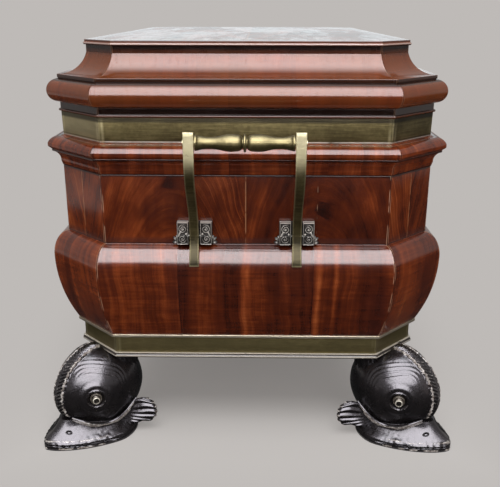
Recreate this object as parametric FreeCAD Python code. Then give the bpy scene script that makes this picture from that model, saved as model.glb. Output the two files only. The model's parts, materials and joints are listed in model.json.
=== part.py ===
import FreeCAD, Part
import math
import os

# Octagonal mahogany cellarette on four carved dolphin-head feet.
# Millimetres. Origin on the floor under the middle of the case, +Z up, +Y along the length.
# The lock side faces -X and the hinge side +X, so -Y is the right-hand end and +Y the left-hand end.
# "out" is always a distance outwards from the reference outline, an octagon with mitred corners.

os.makedirs("parts", exist_ok=True)
Vector = FreeCAD.Vector
UP = Vector(0, 0, 1)

# ---------------------------------------------------------------- plan: the reference outline
HALF_WIDTH = 260.0
HALF_LENGTH = 410.0
CORNER_CUT = 64.5  # leg of the 45 degree corner cut

# ---------------------------------------------------------------- heights, from the floor upwards
FOOT_HEIGHT = 130.0
BASE_THICK = 7.0
LOWER_BAND_HEIGHT = 28.0
BELLY_FILLET_HEIGHT = 4.0
BELLY_CURVE_HEIGHT = 106.0  # from the foot of the belly to its widest line
BELLY_SHOULDER_HEIGHT = 36.0  # from the widest line to the top of the shoulder
BELLY_LEDGE = 1.0
FRIEZE_HEIGHT = 98.0
CORNICE_COVE_HEIGHT = 24.0
CORNICE_OVOLO_HEIGHT = 19.5
CORNICE_OVOLO_SWELL = 3.2
CORNICE_SHELF = 4.0
UPPER_BAND_HEIGHT = 33.5
LID_APRON_HEIGHT = 13.0
LID_TORUS_HEIGHT = 32.0
LID_FILLET_HEIGHT = 6.0
LID_COVE_HEIGHT = 27.0
LID_EDGE_HEIGHT = 12.0
LID_LIP_HEIGHT = 7.0

# ---------------------------------------------------------------- faces, outwards from the outline
CARCASS_OUT = -9.0
BASE_MOULDING_OUT = -2.0
LOWER_BAND_THICK = 2.5
BELLY_FILLET_OUT = 1.5
BELLY_FOOT_OUT = 0.5
BELLY_OUT = 27.8
BELLY_SHOULDER_OUT = 5.0
FRIEZE_OUT = 5.5
CORNICE_STEP_OUT = 19.0
CORNICE_OUT = 24.0
UPPER_BAND_OUT = 3.0
UPPER_BAND_THICK = 3.0
LID_APRON_OUT = 3.5
LID_BEAD_OUT = 6.0
LID_TORUS_OUT = 20.0
LID_FILLET_OUT = 5.0
LID_FACE_OUT = -34.5  # plain edge of the top, over the cove
LID_LIP_OUT = -31.0
COVE_HOLLOW = 7.1  # depth of the lid's cove behind its chord

# ---------------------------------------------------------------- boards, lining and divisions
CARCASS_THICK = 18.0
BOTTOM_THICK = 18.0
BASE_FRAME_WIDTH = 60.0
LID_RAIL_OUT = -8.0
LID_COVE_WIDTH = 60.0
LID_LIP_WIDTH = 24.0
LINING_THICK = 3.0
LINER_THICK = 2.0
CAPPING_THICK = 10.0
CAPPING_HEIGHT = 19.0
SLAT_THICK = 8.0
SLAT_HEIGHT = 200.0
SLAT_PLAY = 0.2
CELLS_ACROSS = 3
CELLS_ALONG = 5
JOINT_GAP = 0.3  # between the lid's mouldings and the case

# ---------------------------------------------------------------- hinges
HINGE_OUT = 11.0  # pin centre, outwards from the outline
HINGE_SPACING = 480.0
LEAF_LENGTH = 76.0
LEAF_THICK = 2.0
LEAF_REACH = 30.0  # from the pin centre inwards
KNUCKLE_RADIUS = 4.5
KNUCKLES = 5
KNUCKLE_GAP = 0.3
PIN_RADIUS = 2.2
PIN_PLAY = 0.05
SCREW_RADIUS = 2.0
SCREW_HEAD_RADIUS = 3.8
SCREW_LENGTH = 16.0

# ---------------------------------------------------------------- lock
LOCK_LENGTH = 60.0
LOCK_DEPTH = 38.0
LOCK_THICK = 12.0
LOCK_WALL = 1.5
SELVEDGE_LENGTH = 76.0
SELVEDGE_WIDTH = 15.0
SELVEDGE_THICK = 2.0
STAPLE_SPACING = 30.0
STAPLE_THICK = 3.0
STAPLE_WIDTH = 7.0
STAPLE_DROP = 22.0
BOLT_THICK = 3.0
BOLT_BAR_HEIGHT = 6.2
BOLT_FINGER_HEIGHT = 4.0
BOLT_TRAVEL = 7.0
BOLT_CLEARANCE = 0.3
TALON_RADIUS = 3.0
KEYHOLE_RADIUS = 3.4
KEYHOLE_SLOT = 3.0
KEYHOLE_DROP = 21.0  # pin of the keyhole, below the joint of the lid
ESCUTCHEON_HALF_WIDTH = 8.0
ESCUTCHEON_THICK = 1.2

# ---------------------------------------------------------------- end handles
ARM_SPACING = 141.4
ARM_WIDTH = 15.5
ARM_THICK = 4.5
ARM_PLAY = 0.3
TAIL_RISE = 11.5  # where the tails bear on the belly, above its widest line
GRIP_AXIS_OUT = 59.5  # outwards from the frieze
GRIP_AXIS_RISE = 153.0  # above the foot of the frieze
ARM_TOP_RISE = 167.0
GRIP_RADIUS = 11.0
GRIP_NECK_RADIUS = 7.3
GRIP_END_RADIUS = 10.2
GRIP_RING_RADIUS = 11.8
GRIP_TENON_RADIUS = 4.0
GRIP_EYE_RADIUS = 7.0
BRACKET_WIDTH = 49.0
BRACKET_HEIGHT = 34.0
BRACKET_PLATE = 2.5
BRACKET_OUT = 12.0
PIVOT_OUT = 7.6
PIVOT_RISE = 14.0
PIVOT_EYE_RADIUS = 4.5
HANDLE_BOLT_RADIUS = 3.0
HANDLE_BOLT_HEAD = 6.0
HANDLE_BOLT_HEAD_THICK = 4.0
HANDLE_BOLT_GRIP = 6.0

# ---------------------------------------------------------------- feet (dolphin heads)
FOOT_TWIST = 2.5  # degrees that each foot is turned, anticlockwise, from its diagonal
HEAD_FORWARD = 4.8  # centre of the head, outwards from the corner of the base
HEAD_RISE = 73.2
HEAD_HALF_LENGTH = 72.5
HEAD_HALF_WIDTH = 58.1
HEAD_HALF_HEIGHT = 64.7
HEAD_POINT = 1.6  # exponent of its plan in front: 2 is an ellipse, less is more pointed
BILL_FORWARD = 106.0
BILL_HALF_WIDTH = 64.0
BILL_BACK = 50.0
BILL_EDGE = 10.0
BILL_EASE = 3.0
BILL_POINT = 1.45
CREST_HALF_WIDTH = 10.0
CREST_RISE = 4.0
NECK_HALF_WIDTH = 44.0
NECK_BACK = 62.0
FIN_THICK = 11.0
FIN_ROOT_SIDE = 44.0
FIN_ROOT_BACK = 8.0
FIN_FOOT_RISE = 14.0
FIN_REACH = 49.0
FIN_HEIGHT = 46.0
EYE_FORWARD = 43.5
EYE_SIDE = 48.5
EYE_RISE = 75.5
EYE_RADIUS = 5.5
EYE_RING_RADIUS = 9.0
EYE_RING_HEIGHT = 3.0
EYE_HEIGHT = 10.0  # how far the stud stands out of its socket's floor
EYE_STEM = 6.0
SOCKET_RADIUS = 12.0
SOCKET_DEPTH = 4.0
DOWEL_RADIUS = 11.0
DOWEL_INSET = 45.0
DOWEL_IN_FOOT = 35.0
DOWEL_IN_CASE = 20.0

# ---------------------------------------------------------------- levels worked out from the heights
base_top = FOOT_HEIGHT + BASE_THICK
band_top = base_top + LOWER_BAND_HEIGHT
belly_foot = band_top + BELLY_FILLET_HEIGHT
belly_wide = belly_foot + BELLY_CURVE_HEIGHT
belly_shoulder = belly_wide + BELLY_SHOULDER_HEIGHT
frieze_foot = belly_shoulder + BELLY_LEDGE
cornice_foot = frieze_foot + FRIEZE_HEIGHT
cornice_step = cornice_foot + CORNICE_COVE_HEIGHT
cornice_top = cornice_step + CORNICE_OVOLO_HEIGHT
joint = cornice_top + UPPER_BAND_HEIGHT
torus_foot = joint + LID_APRON_HEIGHT
torus_top = torus_foot + LID_TORUS_HEIGHT
cove_foot = torus_top + LID_FILLET_HEIGHT
edge_foot = cove_foot + LID_COVE_HEIGHT
lip_foot = edge_foot + LID_EDGE_HEIGHT
lid_top = lip_foot + LID_LIP_HEIGHT

carcass_in = CARCASS_OUT - CARCASS_THICK
liner_in = carcass_in - LINER_THICK
bottom_top = base_top + BOTTOM_THICK
liner_floor_top = bottom_top + LINER_THICK
capping_foot = joint - CAPPING_HEIGHT
lid_cove_in = -LID_COVE_WIDTH
lid_core_out = LID_LIP_OUT - LID_LIP_WIDTH

# ---------------------------------------------------------------- the octagon and its eight sides
MITRE = 2.0 - math.sqrt(2.0)  # change of the corner cut for each millimetre outwards
BEYOND = 60.0  # outer reach of the mitre wedges, past every moulding


def outline(out):
    """Corners of the octagon that lies `out` beyond the reference outline, anticlockwise from +X."""
    w = HALF_WIDTH + out
    l = HALF_LENGTH + out
    c = CORNER_CUT + MITRE * out
    return [
        Vector(w, c - l, 0),
        Vector(w, l - c, 0),
        Vector(w - c, l, 0),
        Vector(c - w, l, 0),
        Vector(-w, l - c, 0),
        Vector(-w, c - l, 0),
        Vector(c - w, -l, 0),
        Vector(w - c, -l, 0),
    ]


def side_normal(side):
    angle = math.radians(45.0 * side)
    return Vector(math.cos(angle), math.sin(angle), 0)


def side_distance(side):
    """Distance of a side of the reference outline from the middle of the case."""
    return outline(0)[side].dot(side_normal(side))


def board(points, low, high):
    """Upright prism over a plan outline."""
    lifted = [Vector(p.x, p.y, low) for p in points]
    face = Part.Face(Part.makePolygon(lifted + lifted[:1]))
    return face.extrude(Vector(0, 0, high - low))


def slab(out, low, high):
    return board(outline(out), low, high)


def wedge(side):
    """The share of the plan between the two mitres of one side."""
    inner = outline(-0.97 * CORNER_CUT / MITRE)
    outer = outline(BEYOND)
    after = (side + 1) % 8
    return board([inner[side], outer[side], outer[after], inner[after]], 0, lid_top + BEYOND)


WEDGES = [wedge(side) for side in range(8)]
LONG_SIDES = (0, 4)
END_SIDES = (2, 6)
CORNER_SIDES = (1, 3, 5, 7)
RIGHT_SIDE = END_SIDES[-1]


class Profile:
    """A closed outline of a moulding, drawn in (out, height) from point to point."""

    def __init__(self, out, z):
        self.points = [(out, z)]
        self.steps = []

    def line(self, out, z):
        self.steps.append(("line", self.points[-1], (out, z), None))
        self.points.append((out, z))
        return self

    def arc(self, out, z, bulge):
        """Circular arc; bulge is its height over the chord, to the left of the way it is drawn."""
        a, z0 = self.points[-1]
        chord = math.hypot(out - a, z - z0)
        middle = ((a + out) / 2 - (z - z0) / chord * bulge, (z0 + z) / 2 + (out - a) / chord * bulge)
        self.steps.append(("arc", (a, z0), (out, z), middle))
        self.points.append((out, z))
        return self

    def curve(self, *through):
        """Smooth curve through the named points."""
        self.steps.append(("curve", self.points[-1], through[-1], through))
        self.points.append(through[-1])
        return self

    def face(self, side):
        self.line(*self.points[0])
        normal = side_normal(side)
        start = side_distance(side)
        edges = []
        for kind, a, b, extra in self.steps:
            p, q = (normal * (start + out) + UP * z for out, z in (a, b))
            if kind == "line" and p.distanceToPoint(q) > 1e-6:
                edges.append(Part.makeLine(p, q))
            if kind == "arc":
                middle = normal * (start + extra[0]) + UP * extra[1]
                edges.append(Part.Arc(p, middle, q).toShape())
            if kind == "curve":
                spline = Part.BSplineCurve()
                spline.interpolate([p] + [normal * (start + out) + UP * z for out, z in extra])
                edges.append(spline.toShape())
        self.steps.pop()
        self.points.pop()
        return Part.Face(Part.Wire(edges))


def length_of(profile, side, sides_wedge):
    """One mitred length of a moulding."""
    along = UP.cross(side_normal(side))
    reach = HALF_LENGTH + BEYOND
    face = profile.face(side)
    face.translate(along * -reach)
    return face.extrude(along * (2 * reach)).common(sides_wedge).Solids[0]


def ring(profile, sides=range(8)):
    return [length_of(profile, side, WEDGES[side]) for side in sides]


def strip(inner, outer, low, high):
    """Plain rectangular section."""
    return Profile(inner, low).line(outer, low).line(outer, high).line(inner, high)


def box(x, y, z):
    """Box between two limits along each axis."""
    corner = Vector(min(x), min(y), min(z))
    return Part.makeBox(max(x) - min(x), max(y) - min(y), max(z) - min(z), corner)


def rod(radius, start, end):
    return Part.makeCylinder(radius, start.distanceToPoint(end), start, end - start)


def screw(head, direction, length=SCREW_LENGTH):
    """Countersunk wood screw with its head flush at `head`, driven along `direction`."""
    sink = SCREW_HEAD_RADIUS - SCREW_RADIUS
    cone = Part.makeCone(SCREW_HEAD_RADIUS, SCREW_RADIUS, sink, head, direction)
    return cone.fuse(Part.makeCylinder(SCREW_RADIUS, length, head, direction)).removeSplitter()


def cut(solids, tools):
    """The solids with every tool that reaches them taken out."""
    result = []
    for solid in solids:
        near = [t for t in tools if t.BoundBox.intersect(solid.BoundBox)]
        result.append(solid.cut(near).Solids[0] if near else solid)
    return result


def turned(shapes):
    """The same shapes at the other end: half a turn about the middle of the case."""
    moved = []
    for shape in shapes:
        copy = shape.copy()
        copy.rotate(Vector(0, 0, 0), UP, 180)
        moved.append(copy)
    return moved


NODES = {}


def keep(name, solids):
    solids = [s for shape in solids for s in shape.Solids]
    NODES[name] = solids


# ---------------------------------------------------------------- belly outline, shared with the handles
def belly_radius():
    """Radius of the long curve: upright at the widest line and through the foot."""
    deep = BELLY_OUT - BELLY_FOOT_OUT
    return (deep ** 2 + BELLY_CURVE_HEIGHT ** 2) / (2 * deep)


def shoulder_point(rise):
    """A point of the quarter-ellipse shoulder and its outward normal, at a height over the widest line."""
    across = BELLY_OUT - BELLY_SHOULDER_OUT
    angle = math.asin(rise / BELLY_SHOULDER_HEIGHT)
    point = (BELLY_SHOULDER_OUT + across * math.cos(angle), belly_wide + rise)
    nx = math.cos(angle) / across
    nz = math.sin(angle) / BELLY_SHOULDER_HEIGHT
    size = math.hypot(nx, nz)
    return point, (nx / size, nz / size)


def belly_profile():
    radius = belly_radius()
    chord = math.hypot(BELLY_OUT - BELLY_FOOT_OUT, BELLY_CURVE_HEIGHT)
    sagitta = radius - math.sqrt(radius ** 2 - chord ** 2 / 4)
    profile = Profile(CARCASS_OUT, belly_foot).line(BELLY_FOOT_OUT, belly_foot)
    profile.arc(BELLY_OUT, belly_wide, -sagitta)
    steps = [BELLY_SHOULDER_HEIGHT * math.sin(math.radians(a)) for a in (18, 36, 54, 72, 90)]
    profile.curve(*[shoulder_point(rise)[0] for rise in steps])
    return profile.line(BELLY_SHOULDER_OUT, frieze_foot).line(CARCASS_OUT, frieze_foot)


# ---------------------------------------------------------------- case
def base_moulding_profile():
    bead = 0.65 * BASE_THICK
    fillet = BASE_MOULDING_OUT - 0.3 * bead
    profile = Profile(CARCASS_OUT, FOOT_HEIGHT).line(fillet, FOOT_HEIGHT)
    profile.arc(fillet, FOOT_HEIGHT + bead, -0.3 * bead)
    return profile.line(fillet, base_top).line(CARCASS_OUT, base_top)


def cornice_cove_profile():
    ease = 0.27 * CORNICE_COVE_HEIGHT
    chin = FRIEZE_OUT + 0.2 * (CORNICE_STEP_OUT - FRIEZE_OUT)
    lip = cornice_step - 3.0
    profile = Profile(CARCASS_OUT, cornice_foot).line(FRIEZE_OUT + 0.5, cornice_foot)
    profile.line(chin, cornice_foot + ease)
    profile.arc(CORNICE_STEP_OUT, lip, 3.4)
    return profile.line(CORNICE_STEP_OUT, cornice_step).line(CARCASS_OUT, cornice_step)


def cornice_ovolo_profile():
    nose = cornice_step + 0.2 * CORNICE_OVOLO_HEIGHT
    brow = nose + 0.25 * CORNICE_OVOLO_HEIGHT
    shelf = cornice_top - 1.8
    profile = Profile(CARCASS_OUT, cornice_step).line(CORNICE_STEP_OUT, cornice_step)
    profile.line(CORNICE_OUT, nose).line(CORNICE_OUT, brow)
    profile.arc(UPPER_BAND_OUT + CORNICE_SHELF, shelf, -CORNICE_OVOLO_SWELL)
    return profile.line(UPPER_BAND_OUT, cornice_top).line(CARCASS_OUT, cornice_top)


def keyhole(inner, outer):
    """Cutter for the keyhole, between two distances outwards on the lock side."""
    x = (-(HALF_WIDTH + inner), -(HALF_WIDTH + outer))
    z = joint - KEYHOLE_DROP
    pin = rod(KEYHOLE_RADIUS, Vector(x[0], 0, z), Vector(x[1], 0, z))
    slot = box(x, (-KEYHOLE_SLOT / 2, KEYHOLE_SLOT / 2), (z - 2.6 * KEYHOLE_RADIUS, z))
    return pin.fuse(slot).removeSplitter()


def selvedge_limits():
    middle = -(HALF_WIDTH + CARCASS_OUT - CARCASS_THICK / 2)
    x = (middle - SELVEDGE_WIDTH / 2, middle + SELVEDGE_WIDTH / 2)
    return x, (-SELVEDGE_LENGTH / 2, SELVEDGE_LENGTH / 2)


def lock_limits():
    middle = -(HALF_WIDTH + CARCASS_OUT - CARCASS_THICK / 2)
    x = (middle - LOCK_THICK / 2, middle + LOCK_THICK / 2)
    return x, (-LOCK_LENGTH / 2, LOCK_LENGTH / 2), (joint - LOCK_DEPTH, joint)


def leaf_limits(above):
    """Limits of the two leaves on one face of the lid's joint, seated in the wood."""
    x = (HALF_WIDTH + HINGE_OUT - LEAF_REACH, HALF_WIDTH + HINGE_OUT)
    z = (joint, joint + LEAF_THICK) if above else (joint - LEAF_THICK, joint)
    middles = (-HINGE_SPACING / 2, HINGE_SPACING / 2)
    return [(x, (y - LEAF_LENGTH / 2, y + LEAF_LENGTH / 2), z) for y in middles]


def leaf_screws(above):
    """Three screws in each leaf, along the line between the carcass faces."""
    x = HALF_WIDTH + CARCASS_OUT - CARCASS_THICK / 2
    direction = UP if above else -UP
    face = joint  # the screw heads lie flush with the leaf, which lies flush with the wood
    heads = []
    for _, (y0, y1), _ in leaf_limits(above):
        heads += [Vector(x, y0 + (y1 - y0) * share, face) for share in (0.16, 0.5, 0.84)]
    return [screw(head, direction) for head in heads]


def handle_bolts():
    """Bolts through the case at the right-hand end, from inside into the brackets."""
    bolts = []
    face = side_distance(RIGHT_SIDE) + FRIEZE_OUT
    inside = side_distance(RIGHT_SIDE) + carcass_in
    z = frieze_foot + PIVOT_RISE + PIN_RADIUS + HANDLE_BOLT_HEAD + 2.0
    lug = (BRACKET_WIDTH / 2 + ARM_WIDTH / 2 + ARM_PLAY) / 2
    for arm in (-ARM_SPACING / 2, ARM_SPACING / 2):
        for x in (arm - lug, arm + lug):
            shank = rod(HANDLE_BOLT_RADIUS, Vector(x, -inside, z), Vector(x, -face - HANDLE_BOLT_GRIP, z))
            end = Vector(x, -inside - HANDLE_BOLT_HEAD_THICK, z)
            bolts.append(rod(HANDLE_BOLT_HEAD, Vector(x, -inside, z), end).fuse(shank).removeSplitter())
    return bolts


def base_screws():
    """Screws up through the base frame into the lower edges of the case."""
    inset = carcass_in + CARCASS_THICK / 2
    heads = []
    for sign in (-1, 1):
        for share in (-0.4, 0.4):
            heads.append(Vector(sign * (HALF_WIDTH + inset), share * HALF_LENGTH, FOOT_HEIGHT))
            heads.append(Vector(share * HALF_WIDTH, sign * (HALF_LENGTH + inset), FOOT_HEIGHT))
    return [screw(head, UP, 2 * SCREW_LENGTH) for head in heads]


def foot_middles():
    """The middle of each cut corner of the base moulding, with the diagonal that the foot faces."""
    corner = outline(BASE_MOULDING_OUT)
    places = {}
    for name, side in (("right_front", 5), ("right_back", 7), ("left_front", 3), ("left_back", 1)):
        middle = (corner[side] + corner[(side + 1) % 8]) * 0.5
        places[name] = (middle, side_normal(side))
    return places


def foot_dowels():
    dowels = []
    for middle, forward in foot_middles().values():
        foot = middle - forward * DOWEL_INSET
        low = foot + UP * (FOOT_HEIGHT - DOWEL_IN_FOOT)
        dowels.append(rod(DOWEL_RADIUS, low, foot + UP * (FOOT_HEIGHT + DOWEL_IN_CASE)))
    return dowels


def make_case():
    dowels = foot_dowels()
    low_screws = base_screws()
    bolts = handle_bolts()
    bolts += turned(bolts)
    body_screws = leaf_screws(False)
    leaves = [box(*limits) for limits in leaf_limits(False)]
    lock_pocket = [box(*lock_limits()), box(*selvedge_limits(), (joint - SELVEDGE_THICK, joint))]
    hole = [keyhole(carcass_in, BEYOND)]

    frame = ring(strip(CARCASS_OUT - BASE_FRAME_WIDTH, CARCASS_OUT, FOOT_HEIGHT, base_top))
    keep("base_frame", cut(frame, dowels + low_screws))
    keep("base_moulding", ring(base_moulding_profile()))
    keep("bottom_board", cut([slab(carcass_in, base_top, bottom_top)], dowels))
    carcass = strip(carcass_in, CARCASS_OUT, base_top, joint)
    tools = low_screws + bolts + body_screws + leaves + lock_pocket + hole
    keep("carcass_long_boards", cut(ring(carcass, LONG_SIDES), tools))
    keep("carcass_end_boards", cut(ring(carcass, END_SIDES), tools))
    keep("carcass_corner_boards", cut(ring(carcass, CORNER_SIDES), tools))
    keep("lower_brass_band", ring(strip(CARCASS_OUT, CARCASS_OUT + LOWER_BAND_THICK, base_top, band_top)))
    keep("belly_fillet", ring(strip(CARCASS_OUT, BELLY_FILLET_OUT, band_top, belly_foot)))
    keep("belly_moulding", ring(belly_profile()))
    keep("frieze_panels", cut(ring(strip(CARCASS_OUT, FRIEZE_OUT, frieze_foot, cornice_foot)), bolts))
    keep("cornice_cove", ring(cornice_cove_profile()))
    keep("cornice_ovolo", ring(cornice_ovolo_profile()))
    backing = UPPER_BAND_OUT - UPPER_BAND_THICK
    rail = ring(strip(CARCASS_OUT, backing, cornice_top, joint))
    keep("upper_band_core", cut(rail, leaves + hole))
    band = Profile(backing, cornice_top).line(UPPER_BAND_OUT - 0.8, cornice_top)
    band.line(UPPER_BAND_OUT, joint).line(backing, joint)
    keep("upper_brass_band", cut(ring(band), leaves + hole))
    keep("foot_dowels", dowels)
    keep("base_screws", low_screws)
    keep("body_hinge_screws", body_screws)
    half = len(bolts) // 2
    keep("right_handle_bolts", bolts[:half])
    keep("left_handle_bolts", bolts[half:])


def make_lining():
    keep("liner_floor", [slab(carcass_in, bottom_top, liner_floor_top)])
    keep("liner_walls", ring(strip(liner_in, carcass_in, liner_floor_top, capping_foot)))
    keep("liner_capping", ring(strip(carcass_in - CAPPING_THICK, carcass_in, capping_foot, joint)))


def slat_places(half_room, cells):
    """Middles of the slats that share a width into equal cells."""
    cell = (2 * half_room - (cells - 1) * SLAT_THICK) / cells
    return [-half_room + k * (cell + SLAT_THICK) - SLAT_THICK / 2 for k in range(1, cells)]


def make_divisions():
    """Slats halved into each other: the long ones are slotted from above, the cross ones from below."""
    half_x = HALF_WIDTH + liner_in
    half_y = HALF_LENGTH + liner_in
    low = liner_floor_top
    middle = low + SLAT_HEIGHT / 2
    high = low + SLAT_HEIGHT
    half = SLAT_THICK / 2
    slot = half + SLAT_PLAY / 2
    long_places = slat_places(half_x, CELLS_ACROSS)
    cross_places = slat_places(half_y, CELLS_ALONG)
    room = slab(liner_in, low, high)
    long_slots = [box((-half_x, half_x), (y - slot, y + slot), (middle, high)) for y in cross_places]
    cross_slots = [box((x - slot, x + slot), (-half_y, half_y), (low, middle)) for x in long_places]
    long_slats = [box((x - half, x + half), (-half_y, half_y), (low, high)) for x in long_places]
    cross_slats = [box((-half_x, half_x), (y - half, y + half), (low, high)) for y in cross_places]
    keep("divider_long_slats", [slat.common(room).cut(long_slots) for slat in long_slats])
    keep("divider_cross_slats", [slat.common(room).cut(cross_slots) for slat in cross_slats])


# ---------------------------------------------------------------- lid
def make_lid():
    leaves = [box(*limits) for limits in leaf_limits(True)]
    screws = leaf_screws(True)
    link = [box(*selvedge_limits(), (joint, joint + SELVEDGE_THICK))]
    lip = lip_foot + LID_LIP_HEIGHT / 2
    edge = Profile(lid_core_out, edge_foot).line(LID_FACE_OUT, edge_foot).line(LID_FACE_OUT, lip_foot)
    edge.arc(LID_FACE_OUT, lid_top, LID_FACE_OUT - LID_LIP_OUT).line(lid_core_out, lid_top)
    cove = Profile(lid_cove_in, cove_foot).line(0, cove_foot)
    cove.arc(LID_FACE_OUT, edge_foot, COVE_HOLLOW).line(lid_cove_in, edge_foot)
    quirk = torus_top + 1.3
    fillet = Profile(LID_RAIL_OUT, torus_top).line(LID_FILLET_OUT - 1, torus_top)
    fillet.line(LID_FILLET_OUT - 1, quirk).line(LID_FILLET_OUT, quirk)
    fillet.line(LID_FILLET_OUT, cove_foot).line(LID_RAIL_OUT, cove_foot)
    torus_flat = LID_TORUS_OUT - LID_TORUS_HEIGHT / 2
    torus = Profile(LID_RAIL_OUT, torus_foot).line(torus_flat, torus_foot)
    torus.arc(torus_flat, torus_top, -LID_TORUS_HEIGHT / 2).line(LID_RAIL_OUT, torus_top)
    bead_top = joint + 0.3 * LID_APRON_HEIGHT
    bead_flat = LID_BEAD_OUT - 1.8
    apron = Profile(LID_RAIL_OUT, joint + JOINT_GAP).line(bead_flat, joint + JOINT_GAP)
    apron.arc(bead_flat, bead_top, bead_flat - LID_BEAD_OUT).line(LID_APRON_OUT, bead_top)
    apron.line(LID_APRON_OUT, torus_foot).line(LID_RAIL_OUT, torus_foot)

    keep("lid_top_board", [slab(lid_core_out, edge_foot, lid_top)])
    keep("lid_edge_moulding", ring(edge))
    keep("lid_cove_moulding", ring(cove))
    keep("lid_fillet", ring(fillet))
    keep("lid_torus_moulding", ring(torus))
    keep("lid_apron", cut(ring(apron), leaves))
    rails = ring(strip(carcass_in, LID_RAIL_OUT, joint, cove_foot))
    keep("lid_rails", cut(rails, leaves + screws + link))
    keep("lid_lining_panel", [slab(lid_cove_in, edge_foot - LINING_THICK, edge_foot)])
    keep("lid_hinge_screws", screws)


# ---------------------------------------------------------------- hinges
def hinge_leaf(limits, above):
    """One leaf with its knuckles: the case has the odd ones, the lid those between."""
    (x0, x1), (y0, y1), z = limits
    screws = leaf_screws(above)
    pitch = (y1 - y0) / KNUCKLES
    play = KNUCKLE_GAP / 2
    # the plate stops short of the pin, and only its own knuckles reach over to it
    plate_end = x1 - KNUCKLE_RADIUS - KNUCKLE_GAP
    leaf = box((x0, plate_end), (y0, y1), z)
    bore = PIN_RADIUS + (PIN_PLAY if above else 0)
    for k in range(KNUCKLES):
        if (k % 2 == 0) == above:
            continue
        a = y0 + k * pitch + (play if k else 0)
        b = y0 + (k + 1) * pitch - (play if k < KNUCKLES - 1 else 0)
        knuckle = rod(KNUCKLE_RADIUS, Vector(x1, a, joint), Vector(x1, b, joint))
        leaf = leaf.fuse([box((plate_end, x1), (a, b), z), knuckle])
    pin_hole = rod(bore, Vector(x1, y0 - 1, joint), Vector(x1, y1 + 1, joint))
    near = [s for s in screws if y0 < s.BoundBox.Center.y < y1]
    return leaf.removeSplitter().cut([pin_hole] + near)


def make_hinges():
    keep("body_hinge_leaves", [hinge_leaf(limits, False) for limits in leaf_limits(False)])
    keep("lid_hinge_leaves", [hinge_leaf(limits, True) for limits in leaf_limits(True)])
    pins = []
    for (_, x1), (y0, y1), _ in leaf_limits(False):
        pins.append(rod(PIN_RADIUS, Vector(x1, y0, joint), Vector(x1, y1, joint)))
    keep("hinge_pins", pins)


# ---------------------------------------------------------------- lock
def staple_middles():
    return (-STAPLE_SPACING / 2, STAPLE_SPACING / 2)


def make_lock():
    x, y, z = lock_limits()
    middle = (x[0] + x[1]) / 2
    wall = LOCK_WALL
    plate = box(*selvedge_limits(), (joint - SELVEDGE_THICK, joint))
    hollow_z = (z[0] + wall, joint - SELVEDGE_THICK)
    inside = box((x[0] + wall, x[1] - wall), (y[0] + wall, y[1] - wall), hollow_z)
    slot_x = (middle - STAPLE_WIDTH / 2 - 1, middle + STAPLE_WIDTH / 2 + 1)
    reach = STAPLE_THICK / 2 + 1
    slots = [box(slot_x, (m - reach, m + reach), (z[0] + 2 * wall, joint)) for m in staple_middles()]
    case = box(x, y, z).fuse(plate).removeSplitter()
    case = case.cut([inside] + slots + [keyhole(carcass_in, CARCASS_OUT)])
    keep("lock_case", [case])

    finger_low = joint - STAPLE_DROP + 3.0
    finger = (finger_low, finger_low + BOLT_FINGER_HEIGHT)
    hole_x = (middle - BOLT_THICK / 2 - 0.4, middle + BOLT_THICK / 2 + 0.4)
    link = box(*selvedge_limits(), (joint, joint + SELVEDGE_THICK))
    for m in staple_middles():
        y_limits = (m - STAPLE_THICK / 2, m + STAPLE_THICK / 2)
        x_limits = (middle - STAPLE_WIDTH / 2, middle + STAPLE_WIDTH / 2)
        link = link.fuse(box(x_limits, y_limits, (joint - STAPLE_DROP, joint)))
        link = link.cut(box(hole_x, y_limits, (finger[0] - 0.4, finger[1] + 0.4)))
    keep("lock_link_plate", [link.removeSplitter()])

    bar_low = z[0] + wall + BOLT_CLEARANCE
    bolt_x = (middle - BOLT_THICK / 2, middle + BOLT_THICK / 2)
    start = staple_middles()[0] - STAPLE_THICK / 2 - 0.8
    posts = []
    post_width = 3.0
    for m in staple_middles():
        tip = m - STAPLE_THICK / 2 - 0.8
        heel = tip - BOLT_TRAVEL + 0.5
        posts.append(box(bolt_x, (heel - post_width, heel), (bar_low, finger[1])))
        posts.append(box(bolt_x, (heel, tip), finger))
    bar_start = start - BOLT_TRAVEL + 0.5 - post_width
    bar_end = y[1] - wall - BOLT_TRAVEL - BOLT_CLEARANCE
    bar = box(bolt_x, (bar_start, bar_end), (bar_low, bar_low + BOLT_BAR_HEIGHT))
    bar_top = bar_low + BOLT_BAR_HEIGHT
    talon = rod(TALON_RADIUS, Vector(x[0], -1, bar_top), Vector(x[1], -1, bar_top))
    keep("lock_bolt", [bar.fuse(posts).removeSplitter().cut(talon)])

    face = -(HALF_WIDTH + UPPER_BAND_OUT)
    z_key = joint - KEYHOLE_DROP
    disc = rod(ESCUTCHEON_HALF_WIDTH, Vector(face - ESCUTCHEON_THICK, 0, z_key), Vector(face + 1, 0, z_key))
    keep("escutcheon", [disc.cut(NODES["upper_brass_band"] + [keyhole(carcass_in, BEYOND)])])


# ---------------------------------------------------------------- end handles
def handle_point(x, out, z):
    """A point beside the right-hand frieze: `out` is measured from its face."""
    return Vector(x, -(side_distance(RIGHT_SIDE) + FRIEZE_OUT + out), z)


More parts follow.
